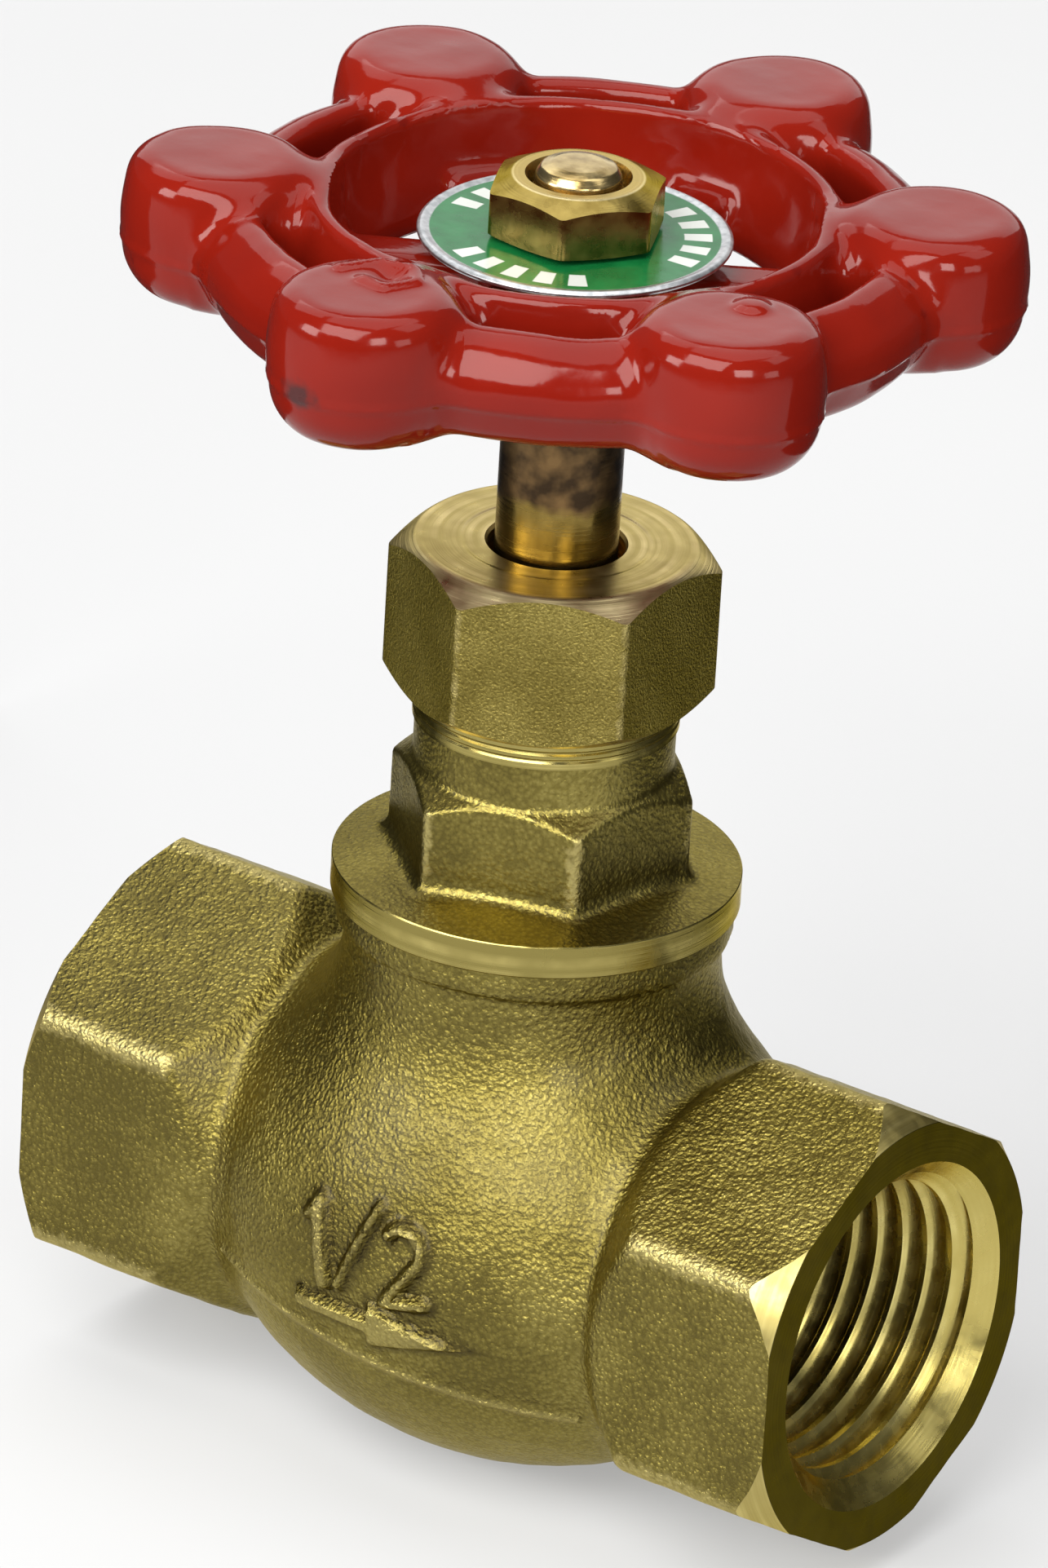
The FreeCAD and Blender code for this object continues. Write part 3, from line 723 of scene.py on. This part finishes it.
def screw(name, radius, pitch, depth, start, end, taper, materials, index):
    """A tapered screw-shaped tool along X, longer than start..end, whose rows follow the helix."""
    shape = [(0.0, 0.0), (0.18, 0.0), (0.56, 1.0), (0.66, 1.0)]
    per_turn, sides = len(shape), 128
    turns = int(math.ceil((end - start) / pitch)) + 3
    rows = [(t + s, h) for t in range(turns) for s, h in shape]
    angles = np.arange(sides) * 2 * math.pi / sides
    step = np.array([r for r, _ in rows])[:, None] + angles[None, :] / (2 * math.pi)
    x = start - 2 * pitch + step * pitch
    height = np.array([h for _, h in rows])[:, None] * np.ones_like(step)
    r = radius + depth * height - taper * (end - x)
    points = np.stack([x, r * np.cos(angles), r * np.sin(angles)], axis=-1).reshape(-1, 3)
    index_of = np.arange(len(rows) * sides).reshape(len(rows), sides)
    faces = []
    for row in range(len(rows) - 1):
        for j in range(sides - 1):
            faces.append([index_of[row, j], index_of[row, j + 1], index_of[row + 1, j + 1], index_of[row + 1, j]])
    for row in range(len(rows) - 1 - per_turn):
        low, high = row + per_turn, row + per_turn + 1
        faces.append([index_of[row, -1], index_of[low, 0], index_of[high, 0], index_of[row + 1, -1]])
    foot = list(index_of[0]) + [index_of[k, 0] for k in range(per_turn, 0, -1)]
    last = len(rows) - 1
    head = list(index_of[last]) + [index_of[last - k, -1] for k in range(1, per_turn + 1)]
    ends = np.array([[x[0].mean(), 0.0, 0.0], [x[-1].mean(), 0.0, 0.0]])
    points = np.concatenate([points, ends])
    foot_tip, head_tip = len(points) - 2, len(points) - 1
    faces += [[foot_tip, b, a] for a, b in zip(foot, foot[1:] + foot[:1])]
    faces += [[head_tip, a, b] for a, b in zip(head, head[1:] + head[:1])]
    return new_object(name, points, [[int(i) for i in f] for f in faces], materials, index)


def pipe_turned(name, corners, materials, index, sides=192):
    """A solid turned about the pipe axis from (radius, x) corners, its first and last on the axis."""
    return spun(name, np.array(corners, float), sides, False, None, materials, index, "X")


def cut_port(target, side, chamfer_materials):
    """Cuts one tapped port with its mouth chamfer; side is +1 for the outlet and -1 for the inlet."""
    inner = BODY_HALF - PORT_DEPTH
    thread = screw("thread", PORT_R, THREAD_PITCH, THREAD_DEPTH, inner, BODY_HALF, 0.0, chamfer_materials, THREADED)
    plug = pipe_turned(
        "plug", [(0, inner), (PORT_R + 2, inner), (PORT_R + 2, BODY_HALF - 0.2), (0, BODY_HALF - 0.2)],
        chamfer_materials, MACHINED,
    )
    combine(thread, plug, "INTERSECT")
    depth = PORT_MOUTH_R - PORT_R + 0.4
    mouth = pipe_turned(
        "mouth",
        [(0, BODY_HALF - depth), (PORT_MOUTH_R - depth, BODY_HALF - depth), (PORT_MOUTH_R + 2, BODY_HALF + 2),
         (0, BODY_HALF + 2)],
        chamfer_materials, THREADED,
    )
    combine(thread, mouth, "UNION")
    if side < 0:
        thread.data.transform(Matrix.Rotation(math.pi, 4, Vector((0, 0, 1))))
    combine(target, thread, "DIFFERENCE")


def valve_body():
    facing = turned_brass("machined_brass", "X", (0.62, 0.52, 0.20), (0.42, 0.34, 0.115), (0.040, 0.032, 0.011), (0.27, 0.42))
    # The darkest colour here is for the pipe end faces: painted shade.
    tapping = turned_brass("thread_brass", "X", (0.74, 0.63, 0.23), (0.54, 0.44, 0.13), None, (0.20, 0.32), 0.02, 0.0)
    materials = [cast_brass(), facing, tapping]
    step = 0.33
    reach = BODY_HALF + FACING
    low = (-reach, -BELLY_R - 0.6, -BELLY_R - 0.6)
    high = (reach, BELLY_R + 0.6, NECK_TOP + FACING)
    points, faces = surface_of(body_casting, low, high, step)
    ob = new_object("valve_body", points, faces, materials, CAST)
    inlet, outlet = -BODY_HALF, BODY_HALF
    clear = 12.0
    flare = 1.25
    envelope = pipe_turned(
        "facing",
        [
            (0, inlet),
            (END_FACE_R, inlet),
            (HEX_CORNER_R, inlet + INLET_CHAMFER),
            (HEX_CORNER_R + clear, inlet + INLET_CHAMFER + clear * flare),
            (HEX_CORNER_R + clear, outlet - OUTLET_CHAMFER - clear * flare),
            (HEX_CORNER_R, outlet - OUTLET_CHAMFER),
            (END_FACE_R, outlet),
            (0, outlet),
        ],
        materials, MACHINED,
    )
    combine(ob, envelope, "INTERSECT")
    points, faces = surface_of(cavity_space, (-18, -14, -14), (18, 14, 14), 0.55)
    combine(ob, new_object("cavity", points, faces, materials, CAST), "DIFFERENCE")
    cut_port(ob, 1, materials)
    cut_port(ob, -1, materials)
    neck = spun(
        "neck_bore",
        np.array([(0, NECK_BORE_BOTTOM), (NECK_BORE_R, NECK_BORE_BOTTOM), (NECK_BORE_R, NECK_TOP - 0.8),
                  (PORT_MOUTH_R, NECK_TOP - 0.8), (PORT_MOUTH_R, NECK_TOP), (NECK_RIM_R + 2, NECK_TOP),
                  (NECK_RIM_R + 2, NECK_TOP + 2), (0, NECK_TOP + 2)]),
        192, False, None, materials, MACHINED,
    )
    combine(ob, neck, "DIFFERENCE")
    spot = [(0, SEAT_Z), (SEAT_LIP_R + 0.3, SEAT_Z), (SPOT_FACE_R, SEAT_Z + 0.3), (SPOT_FACE_R, NECK_BORE_BOTTOM + 1),
            (0, NECK_BORE_BOTTOM + 1)]
    combine(ob, spun("spot_face", np.array(spot, float), 192, False, None, materials, MACHINED), "DIFFERENCE")
    mark_wear_and_shade(ob)
    finish_piece(ob, "valve_body", "cast_brass", "body")
    return ob


def finish_piece(ob, body, slot, *nodes):
    """Smooth shading with crisp machined edges, and the piece's place on the frame."""
    ob.data.polygons.foreach_set("use_smooth", [True] * len(ob.data.polygons))
    ob.data.set_sharp_from_angle(angle=math.radians(32))
    ob.data.update()
    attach(ob, body)
    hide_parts(*nodes)


# ---------------------------------------------------------------- bonnet and nuts

def bonnet_casting(x, y, z):
    radius = np.sqrt(x * x + y * y)
    crown = FLANGE_CROWN - np.clip(radius - 8.5, 0.0, None) * 0.17
    flange = np.maximum(radius - FLANGE_R - FACING, slab(z, FLANGE_LIP, crown))
    turn = math.radians(BONNET_TURN - 90)
    u = x * math.cos(turn) + y * math.sin(turn)
    v = y * math.cos(turn) - x * math.sin(turn)
    cap = BONNET_HEX_TOP + 0.4 - (radius - BONNET_NECK_R) * 0.8
    bar = smooth_max(hexagon(u, v, BONNET_APOTHEM, 0.35), (z - cap) * 0.75, 0.15)
    bar = np.maximum(bar, FLANGE_BOTTOM - z)
    neck = np.maximum(radius - BONNET_NECK_R, slab(z, FLANGE_BOTTOM, BAND_Z + 0.6))
    shape = smooth_min(smooth_min(flange, bar, 0.9), neck, 0.2)
    return shape + 0.45 * relief(x, y, z, 31)


def bonnet():
    materials = [cast_brass(), turned_brass("bonnet_machined", "Z", (0.54, 0.45, 0.155), (0.28, 0.23, 0.068))]
    step = 0.22
    points, faces = surface_of(bonnet_casting, (-13, -13, FLANGE_LIP), (13, 13, BAND_Z + 0.6), step)
    ob = new_object("bonnet_piece", points, faces, materials, CAST)
    clear = FLANGE_R + 3
    envelope = spun(
        "turning",
        np.array([(0, FLANGE_BOTTOM), (NECK_RIM_R + 0.12, FLANGE_BOTTOM), (NECK_RIM_R + 0.14, FLANGE_LIP),
                  (FLANGE_R - 0.1, FLANGE_LIP), (FLANGE_R, FLANGE_LIP + 0.1), (FLANGE_R, FLANGE_TOP), (FLANGE_R - 0.12, FLANGE_TOP + 0.18), (FLANGE_R - 0.12, FLANGE_TOP + 1),
                  (clear, FLANGE_TOP + 1), (clear, BAND_Z), (0, BAND_Z)]),
        256, False, None, materials, MACHINED,
    )
    combine(ob, envelope, "INTERSECT")
    groove = 0.09
    band = [(0, BAND_Z - 0.3), (BONNET_NECK_R - 0.6, BAND_Z - 0.3), (BONNET_NECK_R - 0.6, BAND_Z), (BAND_R, BAND_Z + 0.05)]
    for k in range(2):
        foot = BAND_Z + 0.45 + 0.5 * k
        band += [(BAND_R, foot), (BAND_R - groove, foot + 0.12), (BAND_R - groove, foot + 0.18), (BAND_R, foot + 0.3)]
    band += [(BAND_R, NECK_END), (NUT_THREAD_R - 0.05, NECK_END), (NUT_THREAD_R - 0.05, BONNET_TOP), (0, BONNET_TOP)]
    combine(ob, spun("band", np.array(band), 256, False, None, materials, MACHINED), "UNION")
    foot = [(0, BONNET_BOTTOM), (BONNET_THREAD_R, BONNET_BOTTOM), (BONNET_THREAD_R, FLANGE_BOTTOM + 0.5), (0, FLANGE_BOTTOM + 0.5)]
    combine(ob, spun("foot", np.array(foot, float), 256, False, None, materials, MACHINED), "UNION")
    bore = [(0, BONNET_BOTTOM - 1), (STEM_THREAD_R, BONNET_BOTTOM - 1), (STEM_THREAD_R, BONNET_FLOOR), (STEM_R + 0.05, BONNET_FLOOR),
            (STEM_R + 0.05, BOX_BOTTOM), (BOX_R, BOX_BOTTOM), (BOX_R, BONNET_TOP + 1), (0, BONNET_TOP + 1)]
    combine(ob, spun("bore", np.array(bore, float), 128, False, None, materials, MACHINED), "DIFFERENCE")
    finish_piece(ob, "valve_body", "cast_brass", "bonnet")
    return ob


def hex_bar(name, apothem, k, turn, bottom, top, materials, index):
    """A hexagonal bar along Z with softened corners, one of them at the angle turn."""
    turn = math.radians(turn - 90)

    def shape(a, r, z):
        out = np.where(r > 0.01, apothem, 0.0)
        for _ in range(12):
            out = out - np.where(r > 0.01, hexagon(out * np.cos(a - turn), out * np.sin(a - turn), apothem, k), 0.0)
        return out

    profile = [(0, bottom), (apothem, bottom), (apothem, top), (0, top)]
    return spun(name, profile, 360, False, shape, materials, index)


def packing_nut():
    materials = [forged_brass(), turned_brass("nut_face", "Z", (0.68, 0.565, 0.32), (0.42, 0.345, 0.175), None, (0.26, 0.38), 0.04)]
    ob = hex_bar("packing_nut_piece", NUT_APOTHEM, 0.35, NUT_TURN, NUT_BOTTOM - 0.5, NUT_TOP + 0.5, materials, 0)
    corner = NUT_APOTHEM / math.cos(math.radians(30))
    envelope = [(0, NUT_BOTTOM), (NUT_FACE_R, NUT_BOTTOM), (corner, NUT_EDGE_LOW), (corner + 2, NUT_EDGE_LOW + 2.6),
                (corner + 2, NUT_EDGE_HIGH - 2), (corner, NUT_EDGE_HIGH), (NUT_FACE_R, NUT_TOP - 0.03), (NUT_FACE_R - 0.12, NUT_TOP),
                (NUT_FACE_R - 0.3, NUT_TOP), (NUT_HOLE_R + 1.7, NUT_TOP), (NUT_HOLE_R + 1.55, NUT_TOP),
                (NUT_HOLE_R + 1.5, NUT_TOP - 0.03), (NUT_HOLE_R + 1.35, NUT_TOP - 0.03), (0, NUT_TOP - 0.03)]
    combine(ob, spun("facing", np.array(envelope, float), 256, False, None, materials, 1), "INTERSECT")
    bore = [(0, NUT_BOTTOM - 1), (NUT_THREAD_R + 0.05, NUT_BOTTOM - 1), (NUT_THREAD_R + 0.05, NUT_CEILING), (NUT_HOLE_R, NUT_CEILING),
            (NUT_HOLE_R, NUT_TOP - 0.25), (NUT_HOLE_R + 0.25, NUT_TOP + 0.1), (0, NUT_TOP + 0.1)]
    combine(ob, spun("bore", np.array(bore, float), 128, False, None, materials, 1), "DIFFERENCE")
    finish_piece(ob, "valve_body", "machined_brass", "packing_nut")
    return ob


def wheel_nut_brass():
    """Faced bright on top, duller on the chamfer and the flats, which keep straight streaks. A thin bright ring along
    the top edge is a painted highlight.
    """
    p = Paint("wheel_nut_brass")
    x, y, z = p.split(p.place)
    radius = p.radius(x, y)
    streaks = p.noise(0.16, 2.0, at=p.join(radius, 0.0, 0.0))
    cloud = p.range(p.noise(1.6, 3.0), 0.3, 0.7)
    top = p.mix(streaks, (0.36, 0.275, 0.13), (0.56, 0.44, 0.23))
    side = p.mix(cloud, (0.17, 0.118, 0.030), (0.34, 0.255, 0.075))
    colour = p.mix(p.range(radius, WHEEL_NUT_FACE_R, WHEEL_NUT_FACE_R + 0.12), top, side)
    # Painted highlight: a thin bright ring along the top face's outer edge.
    edge = p.range(radius, WHEEL_NUT_FACE_R - 0.1, WHEEL_NUT_FACE_R)
    edge = p.math("MULTIPLY", edge, p.range(radius, WHEEL_NUT_FACE_R, WHEEL_NUT_FACE_R + 0.12, 0.5, 0.0))
    colour = p.mix(edge, colour, (0.85, 0.74, 0.42))
    relief = p.bump(p.noise(0.5, 3.0), 0.03, 0.6, p.bump(streaks, 0.03, 0.55))
    return p.finish(Base_Color=colour, Metallic=1.0, Roughness=p.range(cloud, 0.0, 1.0, 0.22, 0.34), Normal=relief,
                    Specular_Tint=(0.9, 0.78, 0.4))


def wheel_nut():
    materials = [wheel_nut_brass()]
    ob = hex_bar("wheel_nut_piece", WHEEL_NUT_APOTHEM, 0.3, WHEEL_NUT_TURN, PLATE_TOP - 0.5, WHEEL_NUT_TOP + 0.5, materials, 0)
    corner = WHEEL_NUT_APOTHEM / math.cos(math.radians(30))
    envelope = [(0, PLATE_TOP), (WHEEL_NUT_FACE_R, PLATE_TOP), (corner, PLATE_TOP + 0.3), (corner + 1, PLATE_TOP + 0.8),
                (corner + 1, WHEEL_NUT_EDGE - 1), (corner, WHEEL_NUT_EDGE - 0.1), (WHEEL_NUT_FACE_R + 0.4, WHEEL_NUT_TOP - 0.24),
                (WHEEL_NUT_FACE_R + 0.12, WHEEL_NUT_TOP - 0.05), (WHEEL_NUT_FACE_R - 0.1, WHEEL_NUT_TOP),
                (WHEEL_NUT_FACE_R - 0.3, WHEEL_NUT_TOP), (0, WHEEL_NUT_TOP)]
    combine(ob, spun("facing", np.array(envelope, float), 256, False, None, materials, 0), "INTERSECT")
    sink = 0.6
    bore = [(0, PLATE_TOP - 1), (STEM_TOP_R, PLATE_TOP - 1), (STEM_TOP_R, WHEEL_NUT_TOP - sink), (WHEEL_NUT_SINK_R, WHEEL_NUT_TOP),
            (WHEEL_NUT_SINK_R + 0.2, WHEEL_NUT_TOP + 0.2), (0, WHEEL_NUT_TOP + 0.2)]
    combine(ob, spun("bore", np.array(bore, float), 128, False, None, materials, 0), "DIFFERENCE")
    finish_piece(ob, "stem", "machined_brass", "wheel_nut")
    return ob


# ---------------------------------------------------------------- stem, handwheel and plate

def stem():
    """The stem in one turned piece, with its square for the handwheel and a domed top end."""
    dome = STEM_TOP - 0.4
    corners = [
        (0, STEM_BOTTOM), (BUTTON_R, STEM_BOTTOM), (BUTTON_R, STEM_BOTTOM + BUTTON_THICK),
        (STEM_TIP_R, STEM_BOTTOM + BUTTON_THICK), (STEM_TIP_R, STEM_THREAD_BOTTOM), (STEM_SCREW_R - 0.4, STEM_THREAD_BOTTOM),
        (STEM_SCREW_R, STEM_THREAD_BOTTOM + 0.4), (STEM_SCREW_R, STEM_THREAD_TOP - 0.4), (STEM_R, STEM_THREAD_TOP),
        (STEM_R, HUB_BOTTOM), (STEM_R, PLATE_BOTTOM), (STEM_TOP_R, PLATE_BOTTOM), (STEM_TOP_R, dome - 1.5),
        (STEM_TOP_END_R + 0.05, dome - 1.2), (STEM_TOP_END_R, dome - 0.35), (STEM_TOP_END_R * 0.87, dome + 0.15),
        (STEM_TOP_END_R * 0.6, STEM_TOP - 0.06), (0, STEM_TOP),
    ]

    def square(a, r, z):
        flat = SQUARE_HALF / np.maximum(np.abs(np.cos(a)), np.abs(np.sin(a)))
        return np.where((z > HUB_BOTTOM) & (z < PLATE_BOTTOM), np.minimum(r, flat), r)

    profile = rounded(corners, 0.12, False, 0.5)
    ob = spun("stem_piece", profile, 192, False, square, [stem_brass()], 0)
    finish_piece(ob, "stem", "stem_brass", "stem")
    return ob


def nameplate():
    edge = PLATE_R - 0.22
    corners = [(STEM_TOP_R, PLATE_BOTTOM), (edge, PLATE_BOTTOM), (PLATE_R, PLATE_BOTTOM + 0.2), (PLATE_R, PLATE_TOP - 0.15),
               (edge, PLATE_TOP), (PRINT_R + 0.35, PLATE_TOP), (PRINT_R, PLATE_TOP - 0.12), (STEM_TOP_R, PLATE_TOP - 0.12)]
    profile = rounded(corners, 0.12, True, 0.5)
    ob = spun("nameplate_piece", profile, 256, True, None, [printed_plate()], 0)
    finish_piece(ob, "stem", "printed_plate", "nameplate")
    return ob


def wheel_shape(x, y, z):
    """The handwheel casting: hub, spokes, bowl ring, rim, and six knobs with necks."""
    radius = np.sqrt(x * x + y * y)
    sector = math.pi / 3
    angle = np.arctan2(y, x) - KNOB_TURN
    fold = angle - sector * np.round(angle / sector)
    u = radius * np.cos(fold)
    v = radius * np.sin(fold)
    from_knob = np.sqrt((u - KNOB_PITCH_R) ** 2 + v * v)
    upper = slope(from_knob, z, (5.85, 62.0), (5.15, 65.9))
    lower = slope(from_knob, z, (4.7, 57.1), (5.85, 61.2))
    knob = smooth_max(upper, lower, 1.2)
    knob = smooth_max(knob, z - WHEEL_TOP, 1.6)
    knob = smooth_max(knob, WHEEL_BOTTOM - z, 2.5)
    hollow = 0.12 * np.clip((z - 59.5) * (65.0 - z), 0.0, None) / 2.75
    inner = slope(radius, z, (12.9, 59.5), (14.6, 65.0)) - hollow
    outer = slope(radius, z, (16.8, 59.5), (15.5, 65.0))
    ring = smooth_max(smooth_max(-inner, outer, 0.6), slab(z, 58.3, 65.0), 0.6)
    rim = smooth_max(slope(radius, z, (22.4, 61.8), (20.4, 64.5)), slope(radius, z, (20.8, 57.8), (22.4, 61.2)), 1.4)
    rim = smooth_max(rim, slab(z, 57.8, 64.5), 1.3)
    rim = smooth_max(rim, 18.55 - radius, 1.2)
    neck = smooth_max(np.abs(v) - 4.2, slab(z, 58.2, 64.7 - 0.05 * v * v), 1.5)
    neck = np.maximum(neck, slab(u, 14.8, 21.0))
    spoke = smooth_max(np.abs(v) - 1.8, slab(z, 58.6, 61.0), 0.8)
    spoke = np.maximum(spoke, slab(u, 0.0, 15.2))
    hub = smooth_max(radius - HUB_R, slab(z, HUB_BOTTOM, PLATE_BOTTOM), 0.3)
    shape = smooth_min(smooth_min(ring, rim, 0.9), neck, 1.2)
    shape = smooth_min(smooth_min(shape, knob, 1.3), smooth_min(spoke, hub, 1.0), 0.9)
    line = 0.1 * np.clip(1.0 - np.abs(z - WHEEL_SEAM_Z) / 0.35, 0.0, 1.0) * (radius > 19.0)
    return shape + 0.08 * noise(x, y, z, 4.0, 41) + 0.02 * noise(x, y, z, 1.6, 42) - line - enamel_runs(x, y, z)


def enamel_runs(x, y, z):
    """Height of the wrinkled scab and of the blister in the enamel on top of two knobs."""
    wrinkle = [(-2.3, -19.8), (-1.1, -17.7), (0.9, -17.1), (2.2, -18.5), (1.3, -20.5), (-0.3, -20.3)]
    away = np.minimum.reduce([stroke(x, y, a, b, 0.0) for a, b in zip(wrinkle, wrinkle[1:])])
    scab = 0.34 * np.exp(-((away / 0.45) ** 2)) - 0.5 * np.exp(-((x - 0.4) ** 2 + (y + 18.8) ** 2) / 0.8)
    blister = 0.38 * np.exp(-(((x - 18.2) ** 2 + (y + 7.9) ** 2) / 1.1) ** 2)
    return (scab + blister) * np.exp(-(((z - WHEEL_TOP) / 1.3) ** 2))


def handwheel():
    materials = [red_enamel()]
    step = 0.27
    reach = KNOB_PITCH_R + 6.2
    points, faces = surface_of(wheel_shape, (-reach, -reach, WHEEL_BOTTOM), (reach, reach, WHEEL_TOP), step)
    ob = new_object("handwheel_piece", points, faces, materials)
    low, high = HUB_BOTTOM - 2, PLATE_BOTTOM + 2
    corners = [(-1, -1), (1, -1), (1, 1), (-1, 1)]
    square = [(SQUARE_HALF * a, SQUARE_HALF * b, z) for z in (low, high) for a, b in corners]
    sides = [[0, 1, 5, 4], [1, 2, 6, 5], [2, 3, 7, 6], [3, 0, 4, 7], [3, 2, 1, 0], [4, 5, 6, 7]]
    combine(ob, new_object("square", square, sides, materials), "DIFFERENCE")
    finish_piece(ob, "stem", "red_enamel", "handwheel")
    return ob


# ---------------------------------------------------------------- scene

def dress_hidden_nodes():
    """Real finishes for the CAD nodes that stay, all of them inside the valve."""
    turned = turned_brass("disc_brass", "Z", (0.78, 0.62, 0.30), (0.55, 0.42, 0.18))
    packing = fibre("packing_fibre", (0.30, 0.29, 0.27), (0.12, 0.12, 0.11), 0.4)
    finishes = {
        "bonnet_gasket": fibre("gasket_fibre", (0.42, 0.20, 0.12), (0.24, 0.11, 0.07), 0.5),
        "packing_gland": turned,
        "disc_holder": turned,
        "disc_washer": turned,
        "disc_nut": turned,
        "seat_disc": fibre("seat_rubber", (0.05, 0.05, 0.05), (0.02, 0.02, 0.02), 0.6),
    }
    for name, node in frame["nodes"].items():
        material = packing if name.startswith("packing_ring") else finishes.get(name)
        if material:
            node.data.materials.clear()
            node.data.materials.append(material)


def camera():
    azimuth, elevation, roll = (math.radians(a) for a in (35.17, 24.666, 3.483))
    towards = Vector((math.cos(elevation) * math.sin(azimuth), -math.cos(elevation) * math.cos(azimuth), math.sin(elevation)))
    right = Vector((math.cos(azimuth), math.sin(azimuth), 0.0))
    up = right.cross(-towards)
    tilted_right = math.cos(roll) * right + math.sin(roll) * up
    tilted_up = math.cos(roll) * up - math.sin(roll) * right
    pivot = Vector((0.0, 0.0, PIPE_Z + 35.0))
    place = pivot + 836.49 * towards
    aim = pivot - 1.48 * tilted_right - 7.107 * tilted_up
    back = (place - aim).normalized()
    side = tilted_up.cross(back).normalized()
    data = bpy.data.cameras.new("camera")
    data.lens = 324.8
    data.sensor_width = 36.0
    data.clip_start = 0.05
    ob = bpy.data.objects.new("camera", data)
    turn = Matrix((side, back.cross(side), back)).transposed().to_4x4()
    ob.matrix_world = Matrix.Translation(place * MM) @ turn
    bpy.context.scene.collection.objects.link(ob)
    bpy.context.scene.camera = ob


def softbox(name, azimuth, elevation, distance, width, height, radiance):
    """A rectangular light aimed at the valve; azimuth is counted from +X towards +Y, lengths in metres."""
    a, e = math.radians(azimuth), math.radians(elevation)
    out = Vector((math.cos(e) * math.cos(a), math.cos(e) * math.sin(a), math.sin(e)))
    data = bpy.data.lights.new(name, "AREA")
    data.shape = "RECTANGLE"
    data.size = width
    data.size_y = height
    data.energy = radiance * math.pi * width * height
    ob = bpy.data.objects.new(name, data)
    ob.location = Vector((0.0, 0.0, 0.045)) + distance * out
    ob.rotation_euler = out.to_track_quat("Z", "Y").to_euler()
    ob.visible_camera = False
    bpy.context.scene.collection.objects.link(ob)


def studio():
    bpy.context.scene.view_settings.view_transform = "Standard"
    world = bpy.data.worlds.new("studio")
    world.use_nodes = True
    background = world.node_tree.nodes["Background"]
    background.inputs["Color"].default_value = (1.0, 1.0, 1.0, 1.0)
    background.inputs["Strength"].default_value = WORLD_LIGHT
    bpy.context.scene.world = world
    softbox("backdrop", 125, 28, 0.9, 1.1, 0.6, 1.25)
    softbox("overhead", 90, 84, 0.8, 0.7, 0.7, 2.2)
    softbox("front", -88, 44, 0.8, 0.65, 0.5, 8.8)
    softbox("rear", 165, 52, 0.9, 0.5, 0.4, 2.0)
    softbox("rear_right", 20, 50, 0.9, 0.4, 0.4, 2.2)
    softbox("right_window", -38, 22, 0.8, 0.26, 0.26, 12.0)
    softbox("left_window", -124, 20, 0.8, 0.28, 0.28, 12.0)
    softbox("port_window", -8, 12, 0.8, 0.24, 0.2, 4.0)
    size = FLOOR_HALF
    corners = [(-size, -size, -PIPE_Z), (size, -size, -PIPE_Z), (size, size, -PIPE_Z), (-size, size, -PIPE_Z)]
    floor = new_object("floor", corners, [[0, 1, 2, 3]], [studio_floor()])
    flag("left_flag", -178, 62.0)
    flag("right_flag", 55, 80.0)


def flag(name, azimuth, half):
    """A black card beside the valve, out of the camera's sight, that darkens the sides of bright metal."""
    out = Vector((math.cos(math.radians(azimuth)), math.sin(math.radians(azimuth)), 0.0))
    along = Vector((-out.y, out.x, 0.0))
    foot = out * FLAG_DISTANCE - Vector((0.0, 0.0, PIPE_Z))
    top = Vector((0.0, 0.0, FLAG_HEIGHT))
    corners = [foot - along * half, foot + along * half, foot + along * half + top,
               foot - along * half + top]
    ob = new_object(name, [tuple(c) for c in corners], [[0, 1, 2, 3]], [fibre("black_card", (0.02,) * 3, (0.01,) * 3, 2.0)])
    ob.visible_camera = False
    ob.visible_shadow = False


def main():
    studio()
    camera()
    dress_hidden_nodes()
    valve_body()
    bonnet()
    packing_nut()
    wheel_nut()
    stem()
    nameplate()
    handwheel()


main()
